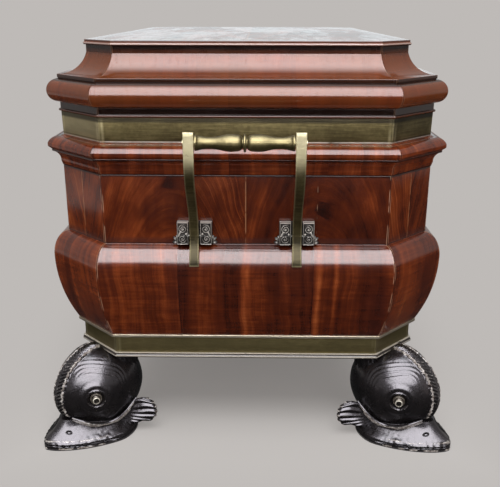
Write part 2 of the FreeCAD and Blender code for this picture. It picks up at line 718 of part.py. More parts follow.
def arm_line():
    """Centre line of an arm in (out from the frieze, height): bears on the belly, leans out, stands up.

    The upright part passes just in front of the grip, so that the eye for the grip lies behind it.
    """
    (out, z), (nx, nz) = shoulder_point(TAIL_RISE)
    stand_off = ARM_PLAY + ARM_THICK / 2
    tail = (out - FRIEZE_OUT + nx * stand_off, z + nz * stand_off)
    front = PIVOT_OUT + PIVOT_EYE_RADIUS
    upright = GRIP_AXIS_OUT + GRIP_EYE_RADIUS - ARM_THICK / 2
    top = frieze_foot + ARM_TOP_RISE
    flat = 1.5 * ARM_THICK  # the tail lies along the belly for this far before it bends away
    points = [tail, (tail[0] - nz * flat, tail[1] + nx * flat)]
    points += [(front + 2.2, frieze_foot + 1.0), (front + 0.2, frieze_foot + PIVOT_RISE)]
    points += [(front + 2.6, frieze_foot + 0.20 * ARM_TOP_RISE)]
    points += [(0.36 * front + 0.47 * upright, frieze_foot + 0.41 * ARM_TOP_RISE)]
    points += [(0.80 * upright, frieze_foot + 0.54 * ARM_TOP_RISE)]
    points += [(0.97 * upright, frieze_foot + 0.68 * ARM_TOP_RISE)]
    points += [(upright, frieze_foot + 0.84 * ARM_TOP_RISE), (upright, top)]
    return points


def arm(x):
    """A bent strap of even thickness with two eyes on its back: for the pivot pin and for the grip."""
    line = Part.BSplineCurve()
    line.interpolate([Vector(out, z, 0) for out, z in arm_line()])
    stations = 30
    first, last = line.FirstParameter, line.LastParameter
    edges = {1: [], -1: []}
    for k in range(stations + 1):
        u = first + (last - first) * k / stations
        p = line.value(u)
        t = line.tangent(u)[0]
        for hand in edges:
            reach = hand * ARM_THICK / 2
            edges[hand].append(handle_point(x - ARM_WIDTH / 2, p.x + t.y * reach, p.y - t.x * reach))
    curves = []
    for points in edges.values():
        spline = Part.BSplineCurve()
        spline.interpolate(points)
        curves.append(spline.toShape())
    ends = [Part.makeLine(edges[1][k], edges[-1][k]) for k in (0, -1)]
    face = Part.Face(Part.Wire(Part.__sortEdges__(curves + ends)))
    strap = face.extrude(Vector(ARM_WIDTH, 0, 0))
    axis = Vector(1, 0, 0)
    eyes = []
    holes = []
    for radius, hole, out, rise in (
        (PIVOT_EYE_RADIUS, PIN_RADIUS + PIN_PLAY, PIVOT_OUT, PIVOT_RISE),
        (GRIP_EYE_RADIUS, GRIP_TENON_RADIUS, GRIP_AXIS_OUT, GRIP_AXIS_RISE),
    ):
        left = handle_point(x - ARM_WIDTH / 2, out, frieze_foot + rise)
        right = handle_point(x + ARM_WIDTH / 2, out, frieze_foot + rise)
        eyes.append(rod(radius, left, right))
        holes.append(rod(hole, left - axis, right + axis))
    return strap.fuse(eyes).removeSplitter().cut(holes)


def grip():
    """Turned grip: a ring in the middle, a swelling and a neck to each side, tenons riveted in the arms."""
    half = ARM_SPACING / 2 - ARM_WIDTH / 2
    tenon = ARM_SPACING / 2 + ARM_WIDTH / 2
    ring_half = 1.3
    outline_points = [(2.2 * ring_half, 0.62 * GRIP_RADIUS), (0.27 * half, GRIP_RADIUS),
                      (0.60 * half, GRIP_NECK_RADIUS), (half, GRIP_END_RADIUS)]
    z = frieze_foot + GRIP_AXIS_RISE
    axis = handle_point(0, GRIP_AXIS_OUT, z)
    solid = rod(GRIP_RING_RADIUS, axis - Vector(ring_half, 0, 0), axis + Vector(ring_half, 0, 0))
    for hand in (-1, 1):
        points = [axis + Vector(hand * x, 0, r) for x, r in outline_points]
        spline = Part.BSplineCurve()
        spline.interpolate(points)
        start = axis + Vector(hand * ring_half, 0, 0)
        rim = axis + Vector(hand * ring_half, 0, outline_points[0][1])
        end = axis + Vector(hand * half, 0, 0)
        edges = [Part.makeLine(start, rim), Part.makeLine(rim, points[0]), spline.toShape()]
        edges += [Part.makeLine(points[-1], end), Part.makeLine(end, start)]
        half_grip = Part.Face(Part.Wire(edges)).revolve(axis, Vector(1, 0, 0), 360)
        solid = solid.fuse([half_grip, rod(GRIP_TENON_RADIUS, end, axis + Vector(hand * tenon, 0, 0))])
    return solid.removeSplitter()


def bracket(x, bolts):
    """Cast bracket: a back plate with a carved lug to each side of the arm."""
    low = frieze_foot + ARM_PLAY
    high = low + BRACKET_HEIGHT
    face = -(side_distance(RIGHT_SIDE) + FRIEZE_OUT)
    half = BRACKET_WIDTH / 2
    inner = ARM_WIDTH / 2 + ARM_PLAY
    ease = 2.0
    solid = box((x - half, x + half), (face - BRACKET_PLATE, face), (low, high))
    for hand in (-1, 1):
        a, b = x + hand * inner, x + hand * half
        lug = box((a, b), (face - BRACKET_OUT, face), (low + ease, high))
        long_edges = [e for e in lug.Edges if e.BoundBox.YMax < face - BRACKET_OUT + 0.01]
        solid = solid.fuse(lug.makeChamfer(ease, long_edges))
    z = frieze_foot + PIVOT_RISE
    pin_half = half - BRACKET_PLATE
    start = handle_point(x - pin_half, PIVOT_OUT, z)
    pin = rod(PIN_RADIUS, start, handle_point(x + pin_half, PIVOT_OUT, z))
    return solid.removeSplitter().cut([pin] + bolts), pin


def make_handles():
    places = {"front": -ARM_SPACING / 2, "back": ARM_SPACING / 2}
    bolts = NODES["right_handle_bolts"]
    pins = []
    brackets = {}
    for where, x in places.items():
        brackets[where], pin = bracket(x, bolts)
        pins.append(pin)
    arms = [arm(x) for x in places.values()]
    handle = grip()
    keep("right_handle_grip", [handle])
    keep("left_handle_grip", turned([handle]))
    keep("right_handle_arms", arms)
    keep("left_handle_arms", turned(arms))
    keep("right_handle_pins", pins)
    keep("left_handle_pins", turned(pins))
    for where, shape in brackets.items():
        opposite = {"front": "back", "back": "front"}[where]
        keep("right_bracket_" + where, [shape])
        keep("left_bracket_" + opposite, turned([shape]))


# ---------------------------------------------------------------- feet
def egg(front, back, half_width, z, widest=8.0, point=2.0):
    """Closed plan curve: half an oval forwards and half an ellipse backwards from the widest line."""
    points = []
    stations = 24
    for k in range(stations):
        angle = 2 * math.pi * k / stations
        power = 2.0 / point if math.cos(angle) > 0 else 1.0
        reach = (front - widest) if math.cos(angle) > 0 else (widest + back)
        x = math.copysign(abs(math.cos(angle)) ** power, math.cos(angle))
        y = math.copysign(abs(math.sin(angle)) ** power, math.sin(angle))
        points.append(Vector(widest + reach * x, half_width * y, z))
    curve = Part.BSplineCurve()
    curve.interpolate(points, PeriodicFlag=True)
    return Part.Wire(curve.toShape())


def head_form(grow=0.0):
    """The bulb of the head: eggs stacked up, as large at each height as an ellipsoid's section."""
    sections = []
    for degrees in (-80, -60, -40, -20, 0, 20, 40, 60, 80):
        share = math.cos(math.radians(degrees))
        z = HEAD_RISE + (HEAD_HALF_HEIGHT + grow) * math.sin(math.radians(degrees))
        reach = share * (HEAD_HALF_LENGTH + grow)
        half_width = share * (HEAD_HALF_WIDTH + grow)
        front = HEAD_FORWARD + reach
        back = reach - HEAD_FORWARD
        sections.append(egg(front, back, half_width, z, HEAD_FORWARD, HEAD_POINT))
    return Part.makeLoft(sections, True, False)


def fin(hand):
    """Side fin: a fan that spreads outwards and backwards from the corner of the mouth."""
    root = Vector(-FIN_ROOT_BACK, hand * FIN_ROOT_SIDE, FIN_FOOT_RISE)
    out = Vector(-math.sin(math.radians(27)), hand * math.cos(math.radians(27)), 0)
    rim = [(0, 0), (0.45, 0.02), (0.84, 0.15), (1, 0.39), (0.92, 0.67), (0.67, 0.89), (0.33, 1), (0, 0.93)]
    points = [root + out * (u * FIN_REACH) + UP * (v * FIN_HEIGHT) for u, v in rim]
    curve = Part.BSplineCurve()
    curve.interpolate(points)
    face = Part.Face(Part.Wire([curve.toShape(), Part.makeLine(points[-1], points[0])]))
    back = UP.cross(out) * hand
    return face.extrude(back * FIN_THICK)


def eye_place(hand):
    """Where the eye sits on the head, and the way it looks."""
    point = Vector(EYE_FORWARD, hand * EYE_SIDE, EYE_RISE)
    middle = Vector(HEAD_FORWARD, 0, HEAD_RISE)
    rel = point - middle
    share = math.sqrt(1 - (rel.z / HEAD_HALF_HEIGHT) ** 2)
    along = abs(rel.x) / (HEAD_HALF_LENGTH * share)
    across = abs(rel.y) / (HEAD_HALF_WIDTH * share)
    size = (along ** HEAD_POINT + across ** HEAD_POINT) ** (1 / HEAD_POINT)
    point = middle + Vector(rel.x / size, rel.y / size, rel.z)
    look_x = along ** (HEAD_POINT - 1) / HEAD_HALF_LENGTH
    look_y = hand * across ** (HEAD_POINT - 1) / HEAD_HALF_WIDTH
    look = Vector(look_x, look_y, rel.z / HEAD_HALF_HEIGHT ** 2)
    return point, look.normalize()


def eye(hand):
    """Turned boss: a ring on the floor of the socket and a stud that stands out of it."""
    point, look = eye_place(hand)
    floor = point - look * SOCKET_DEPTH
    stud = rod(EYE_RADIUS, floor - look * EYE_STEM, floor + look * EYE_HEIGHT)
    return stud.fuse(rod(EYE_RING_RADIUS, floor, floor + look * EYE_RING_HEIGHT)).removeSplitter()


def bill():
    """Flat bill: a swelling edge band, over it a top that rises to meet the front of the head."""
    ease = BILL_EASE
    top = BILL_HALF_WIDTH - 5 * ease
    sections = [
        egg(BILL_FORWARD - ease, BILL_BACK - ease, BILL_HALF_WIDTH - ease, 0, point=BILL_POINT),
        egg(BILL_FORWARD, BILL_BACK, BILL_HALF_WIDTH, BILL_EDGE / 2, point=BILL_POINT),
        egg(BILL_FORWARD, BILL_BACK - ease, BILL_HALF_WIDTH - ease / 2, BILL_EDGE, point=BILL_POINT),
        egg(BILL_FORWARD - ease, BILL_BACK - 2 * ease, top, 1.7 * BILL_EDGE, point=BILL_POINT),
        egg(HEAD_HALF_LENGTH + ease, BILL_BACK - 2 * ease, HEAD_HALF_WIDTH / 2, 0.53 * HEAD_RISE),
    ]
    return Part.makeLoft(sections, True, True)


def neck():
    """The neck fills out the back of the head up to the frame of the case."""
    taper = 6.0
    widest = -NECK_BACK / 3
    sections = [
        egg(0, NECK_BACK - taper, NECK_HALF_WIDTH - taper, HEAD_RISE, widest),
        egg(0, NECK_BACK, NECK_HALF_WIDTH, (HEAD_RISE + FOOT_HEIGHT) / 2, widest),
        egg(0, NECK_BACK, NECK_HALF_WIDTH, FOOT_HEIGHT, widest),
    ]
    return Part.makeLoft(sections, True, True)


def carved_head():
    """The head in one block: bulb, crest, bill, fins and neck, with sockets for eyes and dowel."""
    above = (FOOT_HEIGHT, 3 * FOOT_HEIGHT)
    across = (-2 * FOOT_HEIGHT, 2 * FOOT_HEIGHT)
    rebate = box((-3 * HEAD_HALF_LENGTH, JOINT_GAP), across, above)
    dowel_foot = Vector(-DOWEL_INSET, 0, FOOT_HEIGHT - DOWEL_IN_FOOT)
    dowel_hole = rod(DOWEL_RADIUS, dowel_foot, Vector(-DOWEL_INSET, 0, FOOT_HEIGHT + 1))
    for seat in (rebate, dowel_hole):
        seat.rotate(Vector(0, 0, 0), UP, -FOOT_TWIST)
    crest_limits = (-CREST_HALF_WIDTH, CREST_HALF_WIDTH)
    crest_slab = box((0, BILL_FORWARD), crest_limits, (HEAD_RISE / 2, 2 * FOOT_HEIGHT))
    bulb = head_form().cut(rebate)
    crest = head_form(CREST_RISE).common(crest_slab).cut(rebate)
    head = bulb.fuse([crest, bill(), neck(), fin(1), fin(-1)])
    tools = [dowel_hole]
    for hand in (-1, 1):
        point, look = eye_place(hand)
        tools.append(rod(SOCKET_RADIUS, point - look * SOCKET_DEPTH, point + look * 2 * SOCKET_DEPTH))
        tools.append(eye(hand))
    return head.cut(tools)


def make_feet():
    head = carved_head()
    eyes = [eye(-1), eye(1)]
    for name, (middle, forward) in foot_middles().items():
        turn = math.degrees(math.atan2(forward.y, forward.x)) + FOOT_TWIST
        place = FreeCAD.Placement(middle, FreeCAD.Rotation(UP, turn))
        moved = [shape.transformed(place.toMatrix()) for shape in [head] + eyes]
        keep("foot_" + name, moved[:1])
        keep("eyes_" + name, moved[1:])


make_case()
make_lining()
make_divisions()
make_lid()
make_hinges()
make_lock()
make_handles()
make_feet()

for name, solids in NODES.items():
    bad = [s for s in solids if not s.isValid() or s.Volume <= 0]
    shape = solids[0] if len(solids) == 1 else Part.makeCompound(solids)
    shape.exportStep("parts/" + name + ".step")
    note = "  NOT VALID" if bad else ""
    print(f"{name:24s} {len(solids):2d} solids {shape.Volume / 1000:9.1f} cm3{note}")

whole = Part.makeCompound([s for solids in NODES.values() for s in solids]).BoundBox
size = f"{whole.XLength:.1f} x {whole.YLength:.1f} x {whole.ZLength:.1f}"
print(f"{len(NODES)} nodes; box {size} mm, low {whole.ZMin:.2f}")
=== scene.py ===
# %% [markdown]
# # An octagonal mahogany cellarette
#
# A cellarette is a small chest for wine. This one is an eight-sided case with a swelling lower
# stage, brass bands, a swinging handle on each end, a moulded lid, and four feet carved as
# dolphin heads. The solids of the case come packed from CAD. They are exact but plain, so most of
# what shows is built again here as finished surfaces, and the hidden parts only get a finish.

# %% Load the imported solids
import json
import math

import bmesh
import bpy
import numpy as np
from mathutils import Matrix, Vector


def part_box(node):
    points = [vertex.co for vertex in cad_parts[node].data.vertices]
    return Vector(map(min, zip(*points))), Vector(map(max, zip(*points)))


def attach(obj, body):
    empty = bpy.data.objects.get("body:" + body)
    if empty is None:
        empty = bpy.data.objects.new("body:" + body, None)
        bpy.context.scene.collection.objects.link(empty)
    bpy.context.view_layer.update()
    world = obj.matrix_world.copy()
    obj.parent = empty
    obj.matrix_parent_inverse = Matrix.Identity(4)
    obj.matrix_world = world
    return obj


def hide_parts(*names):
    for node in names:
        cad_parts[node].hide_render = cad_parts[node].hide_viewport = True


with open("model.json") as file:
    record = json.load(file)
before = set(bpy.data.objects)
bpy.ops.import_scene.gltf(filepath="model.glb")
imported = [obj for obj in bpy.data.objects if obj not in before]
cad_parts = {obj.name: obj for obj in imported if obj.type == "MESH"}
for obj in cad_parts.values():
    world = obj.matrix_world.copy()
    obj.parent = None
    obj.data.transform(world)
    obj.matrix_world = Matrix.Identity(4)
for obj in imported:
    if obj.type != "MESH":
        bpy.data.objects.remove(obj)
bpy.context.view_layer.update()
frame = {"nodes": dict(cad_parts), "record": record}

MM = 0.001
FINISHES = {}
MAPS = ("size", "spot")

# %% [markdown]
# ## Shader maths written as formulas
#
# A material is a tree of nodes, and a tree is hard to read. Here a small class wraps one output of
# a node, and the signs + - * / on it add Math nodes, so that a pattern can be written as a
# formula. A second class holds one tree, and all other nodes are added by its method `node`.


# %% Values and recipes
def shade(red, green, blue):
    """A display colour, 0 to 255, as the linear numbers that nodes use."""
    share = np.array([red, green, blue]) / 255
    linear = np.where(share <= 0.04045, share / 12.92, ((share + 0.055) / 1.055) ** 2.4)
    return (*linear.tolist(), 1.0)


class Value:
    """A quantity that changes over a surface. The usual signs add the nodes that work it out."""

    def __init__(self, recipe, socket):
        self.recipe, self.socket = recipe, socket

    def math(self, operation, *others):
        return self.recipe.node("Math", {"operation": operation}, self, *others)

    def __add__(self, other):
        return self.math("ADD", other)

    def __sub__(self, other):
        return self.math("SUBTRACT", other)

    def __rsub__(self, other):
        return self.recipe.node("Math", {"operation": "SUBTRACT"}, other, self)

    def __mul__(self, other):
        return self.math("MULTIPLY", other)

    def __truediv__(self, other):
        return self.math("DIVIDE", other)

    def __abs__(self):
        return self.math("ABSOLUTE")

    __radd__ = __add__

    def step(self, low, high):
        """0 below low, 1 above high, and a smooth rise between; low may be the larger one."""
        return self.recipe.node("MapRange", {"interpolation_type": "SMOOTHSTEP"}, self, low, high)

    def bell(self, middle, width):
        """1 at the middle, falling smoothly to 0 at `width` to each side."""
        return abs(self - middle).step(width, 0.0)

    def band(self, start, full, last, end):
        """1 from full to last, with a smooth rise from start and a smooth fall to end."""
        return self.step(start, full) * self.step(end, last)

    def ramp(self, *stops):
        """A colour for each value, from stops that are (place, (red, green, blue))."""
        return self.recipe.node("ValToRGB", {"stops": stops}, self)

    def paint(self, *coats):
        """Lays coats over a colour, one after the other; a coat is its cover and its colour."""
        colour = self
        for share, coat in coats:
            colour = self.recipe.mix(share, colour, coat)
        return colour

    def bump(self, depth, under=None):
        """Relief of `depth` metres for a height that goes from 0 to 1."""
        return self.recipe.node("Bump", {}, Height=self, Distance=depth, Normal=under)


class Recipe:
    """The node tree of a material or a world, with a short way to add each kind of node."""

    def __init__(self, owner):
        owner.use_nodes = True
        self.owner, self.tree = owner, owner.node_tree
        self.tree.nodes.clear()

    def feed(self, socket, value):
        """Links a Value or sets a constant; three numbers are a display colour."""
        if isinstance(value, Value):
            self.tree.links.new(value.socket, socket)
        elif value is not None:
            is_shade = isinstance(value, tuple) and len(value) == 3
            socket.default_value = shade(*value) if is_shade else value

    def node(self, kind, settings, *inputs, out=0, **named):
        """Adds a node: its settings first, then inputs in their order, then inputs by name."""
        made = self.tree.nodes.new("ShaderNode" + kind)
        for key, value in settings.items():
            if key == "stops":
                elements = made.color_ramp.elements
                for _ in value[2:]:
                    elements.new(0.5)
                for element, (place, colour) in zip(elements, value):
                    element.position, element.color = place, shade(*colour)
            else:
                setattr(made, key, value)
        for key, value in [*enumerate(inputs), *named.items()]:
            self.feed(made.inputs[key if isinstance(key, int) else key.replace("_", " ")], value)
        return Value(self, made.outputs[out]) if made.outputs else None

    def split(self, vector):
        outputs = self.node("SeparateXYZ", {}, vector).socket.node.outputs
        return [Value(self, outputs[k]) for k in range(3)]

    def place(self):
        """Object coordinates: x, y and z."""
        return self.split(self.node("TexCoord", {}, out="Object"))

    def maps(self):
        """A mitred surface's own maps: along and up in metres, its side, and distance to a mitre."""
        size, spot = [self.split(self.node("UVMap", {"uv_map": name})) for name in MAPS]
        return *size[:2], *spot[:2]

    def rub(self):
        """How much a surface is rubbed, written into its mesh, 0 to 1; on the eyes' lower rims it is a
        painted highlight.
        """
        return self.node("Attribute", {"attribute_name": "rub"}, out="Fac")

    def mix(self, share, first, second):
        made = self.node("Mix", {"data_type": "RGBA"}, share, out=2)
        for socket, value in zip(made.socket.node.inputs[6:8], (first, second)):
            self.feed(socket, value)
        return made


def noise(x, y=0.0, z=0.0, detail=2.0, rough=0.55, scale=1.0, bend=0.0):
    """Soft random patches between 0 and 1; a coordinate times a small number stretches them."""
    spot = x.recipe.node("CombineXYZ", {}, x, y, z)
    return x.recipe.node("TexNoise", {}, Vector=spot, Scale=scale, Detail=detail, Roughness=rough,
                         Distortion=bend)


def swing(*spot_and_detail):
    """Noise round 0, from about -0.35 to 0.35."""
    return noise(*spot_and_detail) - 0.5


def new_recipe(slot):
    """The recipe of a new material for a slot."""
    FINISHES[slot] = bpy.data.materials.new(slot)
    return Recipe(FINISHES[slot])


def finish(colour, roughness, normal, **constants):
    """Ends a recipe with a Principled surface."""
    recipe = colour.recipe
    shader = recipe.node("BsdfPrincipled", {}, Base_Color=colour, Roughness=roughness, Normal=normal,
                         **constants)
    recipe.node("OutputMaterial", {}, shader)
    print("finish", recipe.owner.name, "has", len(recipe.tree.nodes), "nodes")


# %% [markdown]
# ## Mahogany
#
# All the outside wood is mahogany under French polish, but cut in different ways. The frieze is
# flame veneer from a crotch, laid as a mirrored pair. The belly and the cornice are cross-grained:
# short lengths of wood stand upright side by side, so colour changes along the length and not
# with the height. Each surface carries a map in metres, so one formula makes grain of the right
# size everywhere. Two tools give the look of wood: noise that is stretched along the grain, and a
# ramp of colours from nearly black-brown to orange.

# %% The parts that every mahogany shares
WOOD = [(0.00, (24, 8, 4)), (0.26, (48, 15, 6)), (0.44, (76, 28, 10)), (0.60, (110, 47, 18)),
        (0.78, (154, 80, 38)), (1.00, (204, 124, 70))]


def pores(across, along, side):
    """Short dark pores, long along the grain: stretched cells of noise, only the deepest kept."""
    return noise(across * 900, along * 45, side * 5.7, 2.0, 0.6).step(0.40, 0.30)


def polished(colour, relief, across, along, mitre, wear=0.5, dull=0.0, coat=0.2):
    """French polish over wood: worn pale at the arris of a mitre, with faint hand-rubbed waves."""
    worn = noise(along * 26, mitre * 9, across.math("SIGN")).step(0.44, 0.52)
    arris = mitre.bell(0.0013, 0.0007) * worn * wear
    colour = colour.paint((mitre.step(0.0006, 0.0002) * 0.75, (30, 14, 9)), (arris, (200, 158, 128)))
    wave = noise(across * 9, along * 14, mitre * 2)
    cloud = noise(across * 22, along * 26, 0.0, 4.0, 0.6)
    rough = 0.12 + cloud * 0.14 + relief * 0.05 + dull
    normal = wave.bump(0.0009, (1.0 - relief).bump(0.00006))
    finish(colour, rough, normal, Coat_Weight=coat, Coat_Roughness=0.1, IOR=1.4,
           Specular_Tint=(250, 240, 242))


# %% [markdown]
# The belly's lengths are about 188 mm wide. A coloured streak runs up each of them, and where two
# lengths meet there is a fine dark joint. On the two ends an orange streak stands in the middle,
# with more to one side, and one length is lighter than its neighbour.


# %% Cross-grained belly
def staves(recipe, width, seam_width=0.0006):
    """Upright lengths of wood side by side: their tone round 0.5, and the joints between them."""
    u, v, side, mitre = recipe.maps()
    count = u / width + 0.5
    number = count.math("FLOOR") + side * 3.7
    lean = u + swing(u * 6, v * 7, number) * 0.03
    broad = swing(lean * 22, v * 1.2, number * 3.1)
    stripe = swing(lean * 95, v * 2.5, number * 1.7, 3.0, 0.6)
    fibre = swing(lean * 600, v * 8, number, 2.0, 0.6)
    ripple = swing(u * 14, v * 300, number, 2.0, 0.6)
    mottle = swing(u * 40, v * 60, number * 5)
    tone = 0.5 + broad * 0.75 + stripe * 0.42 + fibre * 0.16 + ripple * 0.22 + mottle * 0.25
    joint = abs(count.math("FRACT") - 0.5).step(0.5 - seam_width / width, 0.5)
    return tone, joint, u, v, side, mitre


# place along the end, half width, strength, and how far each streak follows the sway
STREAKS = [(-0.001, 0.010, 0.24, 1.0), (0.101, 0.008, 0.20, 0.3), (0.126, 0.006, 0.14, 0.6),
           (-0.050, 0.040, 0.10, 0.0), (0.038, 0.028, -0.13, 0.0)]

recipe = new_recipe("mahogany_belly")
tone, joint, u, v, side, mitre = staves(recipe, 0.188)
end = side.math("COMPARE", 6.0, 0.5) + side.math("COMPARE", 2.0, 0.5)
sway = swing(v * 9, side) * 0.016
for middle, width, strength, follow in STREAKS:
    tone = tone + (u + sway * follow).bell(middle, width) * end * strength
left_part = u.step(-0.095, -0.125) * (1.0 - u.step(-0.172, -0.205) * 0.75) * end
# Painted light: the last term makes the odd sides, which are the chamfers, a tone lighter, as if more
# light fell on them.
tone = tone + left_part * 0.16 - end * 0.10 + side.math("MODULO", 2.0) * 0.06
purple = swing(u * 8, v * 5, side * 2).step(-0.06, 0.14) * (1.0 - left_part)
colour = tone.ramp(*WOOD).paint((purple * 0.4, (48, 20, 17)), (joint * 0.8, (24, 10, 7)))
polished(colour, pores(u, v, side), u, v, mitre, coat=0.32)

# %% [markdown]
# Flame veneer is cut where a branch forks. Its lines rise as arches, and two leaves cut one after
# the other are opened like a book, so that the middle of the panel is a mirror. An arch is a curve
# on which height + k * (distance from its middle) squared stays the same, so that sum is the
# number that the stripes follow. A few arches are thin and bright, and dark knots lie inside them.
# The top has a grey bloom, whose streaks also stand for smudged reflections as painted reflection. A
# painted shadow darkens the frieze's top under the cornice, and its lowest part above the belly is darker
# and greyer, with a dark line at its foot.

# %% Flame veneer
recipe = new_recipe("mahogany_flame")
x, y, z = recipe.place()
u, v, side, mitre = recipe.maps()
folded, right = abs(u), u.math("SIGN").step(-1.0, 1.0)
leaf = side * 2.3 + u.math("SIGN") * 0.4
from_heart = folded - 0.102 + swing(folded * 14, v * 10, leaf) * 0.018
arch = v + from_heart * from_heart * 20.0
broad = swing(arch * 22, folded * 6, leaf)
feather = swing(arch * 130, folded * 9, leaf, 3.0, 0.6)
fibre = swing(arch * 520, folded * 30, leaf, 2.0, 0.6)
cloud = swing(folded * 30, v * 24, leaf * 3, 3.0)
lick = swing(arch * 38, folded * 3.0, leaf + 5.0, 0.0).bell(0.045, 0.018)
lick = lick * (1.0 - right * 0.7) * folded.step(0.078, 0.052)
knot = from_heart.bell(0.004, 0.020) * swing(v * 48, folded * 22, leaf, 1.0).step(0.0, 0.12)
tone = 0.45 + broad * 0.50 + feather * 0.22 + fibre * 0.20 + cloud * 0.46 + lick * 0.20 - knot * 0.26
# Painted light: the last term makes the odd sides, the chamfers and with them the top (side 9), a tone
# lighter, as if more light fell on them.
tone = tone - right * 0.055 + side.math("MODULO", 2.0) * 0.10
smoke = swing(folded * 9, v * 6, leaf * 2).step(-0.02, 0.16)
book = folded.step(0.0009, 0.0003) * noise(v * 60, side).step(0.36, 0.50)
slip = u.bell(0.0985, 0.0006) * noise(v * 34, side * 3, 0.0, 1.0).step(0.50, 0.56)
# Painted reflection, together with real haze: grey streaks on the top stand for smudged reflections in
# the polish, and the same streaks roughen it as a bloom.
streaks = swing(x * 9, y * 2.2, 0.0, 4.0, 0.65) + swing(x * 60, y * 9) * 0.4
bloom = z.step(0.58, 0.582) * streaks.step(-0.06, 0.14)
# The lowest 12 mm of the frieze, just above the belly, is made darker and greyer.
darker_foot_band = z.step(0.3235, 0.3175)
# Painted shadow along the frieze's top under the cornice, and a dark line at the frieze's foot above the
# belly.
cornice_shadow_and_foot_line = z.band(0.4062, 0.4092, 0.44, 0.45) + z.step(0.3145, 0.3118)
colour = tone.ramp(*WOOD).paint(
    (smoke * 0.35, (46, 18, 13)), (book * 0.4, (196, 142, 100)), (slip * 0.4, (196, 160, 130)),
    (bloom * 0.10, (140, 140, 128)), (darker_foot_band * 0.45, (62, 38, 34)), (cornice_shadow_and_foot_line * 0.85, (22, 9, 6)))
polished(colour, pores(u, arch, side), u, v, mitre, 0.6, bloom * 0.12)

# %% [markdown]
# The mouldings are cross-grained too, in shorter lengths of about 44 mm, and calmer on the lid.
# Painted shade darkens them where shadow falls: under the torus, under the lip of the top, below the
# fillet and in the corners of the cornice. The apron and the underside of the lip's nose are painted
# nearly black as shadow. The upright face above the bead is painted darker, and a painted highlight
# runs along the bead. The slats inside have no maps, so their grain is read from their place.

# %% Cross-grained mouldings
STAVE = 0.0445

recipe = new_recipe("mahogany_moulding")
x, y, z = recipe.place()
tone, joint, u, v, side, mitre = staves(recipe, STAVE, 0.0005)
mapped = (abs(u) + abs(v) + mitre).step(0.0, 0.000001)
board = swing(x * 6, y * 6, z * 90, 3.0) * 0.7 + swing(x * 50, y * 50, z * 700) * 0.25
tone = mapped * tone + (1.0 - mapped) * (board + 0.52)
lid_part = z.step(0.470, 0.472) * mapped
calm = (tone - 0.5) * (1.0 - lid_part * 0.62) + 0.5 + lid_part * 0.02
# Painted shade: the colour is darkened where shadow falls under the torus, under the lip, below the
# fillet and in the corners of the cornice.
under_torus = z.band(0.486, 0.494, 0.498, 0.503)
under_lip = z.band(0.562, 0.573, 0.5780, 0.5786)
under_fillet = z.band(0.5290, 0.5306, 0.5376, 0.5379)
cornice_corners = z.bell(0.4105, 0.0016) + z.bell(0.4325, 0.0021)
recess_shade = under_torus + under_lip + under_fillet * 1.2 + cornice_corners
# Painted shadow: the apron under the torus, and the underside of the lip's nose, are painted nearly
# black.
apron = z.band(0.4865, 0.4955, 0.4965, 0.5005)
nose_shadow = z.band(0.5705, 0.5765, 0.5780, 0.5786)
painted_shade = (recess_shade * 0.6 + apron * 0.9 + nose_shadow * 0.85).math("MINIMUM", 0.95)
# Painted shade: the edge's upright face above the bead is painted darker.
rim = z.band(0.5812, 0.5824, 0.5838, 0.5842) * lid_part
# Painted highlight: a pale line along the bead under the top's edge.
lip = z.bell(0.5796, 0.0016) * lid_part
chosen = noise((u / STAVE + 0.5).math("FLOOR"), side * 2.1, 0.0, 0.0, scale=3.7)
open_joint = joint * chosen.step(0.42, 0.55)
colour = (calm - recess_shade * mapped * 0.22).ramp(*WOOD)
brown = colour.paint((0.6, (98, 52, 22)))
bleached = lid_part * swing(u * 9, v * 14, side).step(-0.3, 0.1)
colour = colour.paint(
    (bleached, brown), (painted_shade * mapped, (20, 8, 5)), (rim * 0.6, (40, 22, 17)),
    (lip * 0.5, (206, 188, 180)), (open_joint * (1.0 - lid_part * 0.8) * 0.65 * mapped, (34, 14, 9)))
dull = z.band(0.545, 0.568, 0.574, 0.577) * 0.08 - apron * 0.12
polished(colour, pores(u, v, side) * mapped, u, v, mitre + (1.0 - mapped), 0.2, dull)

# %% [markdown]
# What only shows with the lid open, or from below, is sawn deal, zinc sheet, and green baize.

# %% Inside finishes
recipe = new_recipe("carcass_wood")
x, y, z = recipe.place()
rings = noise(x * 20, y * 3, z * 60, 4.0, 0.6, bend=0.6)
saw = noise(x * 30, y * 400, z * 30)
grain = rings * 0.8 + saw * 0.2
colour = grain.ramp((0.3, (74, 44, 24)), (0.5, (112, 72, 42)), (0.72, (146, 102, 64)))
finish(colour, rings * 0.2 + 0.55, saw.bump(0.0002))

recipe = new_recipe("zinc")
x, y, z = recipe.place()
bloom = noise(x, y, z, 5.0, 0.65, 14.0)
flake = recipe.node("TexVoronoi", {}, Vector=recipe.node("CombineXYZ", {}, x, y, z), Scale=55.0)
spangle = bloom * 0.7 + flake * 0.3
colour = spangle.ramp((0.25, (88, 92, 94)), (0.5, (128, 133, 134)), (0.8, (168, 172, 172)))
finish(colour, bloom * 0.25 + 0.35, bloom.bump(0.0006), Metallic=0.85)

recipe = new_recipe("baize")
x, y, z = recipe.place()
nap = noise(x, y, z, scale=700.0)
fade = noise(x, y, z, 3.0, scale=5.0)
pile = nap * 0.5 + fade * 0.5
colour = pile.ramp((0.3, (24, 58, 38)), (0.5, (40, 84, 56)), (0.75, (70, 112, 78)))
finish(colour, nap * 0.1 + 0.85, nap.bump(0.0004), Sheen_Weight=0.5)

# %% [markdown]
# ## Metals
#
# The brass was never lacquered. It has gone olive-brown and darker in blotches. It is brighter where
# it is handled, and the upright tops of the arms and the top halves of the grips are painted paler as
# a highlight. Painted shade lies along the upper band's top under the lid, with a dark line near its
# foot, and one chamfer of the band is painted paler as painted light. The upper band's bare lower edge
# shows as a bright line, and the handles' tails, which lie on the belly, are painted nearly black as
# shade.


# %% Brass and steel
BAND_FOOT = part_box("upper_brass_band")[0].z


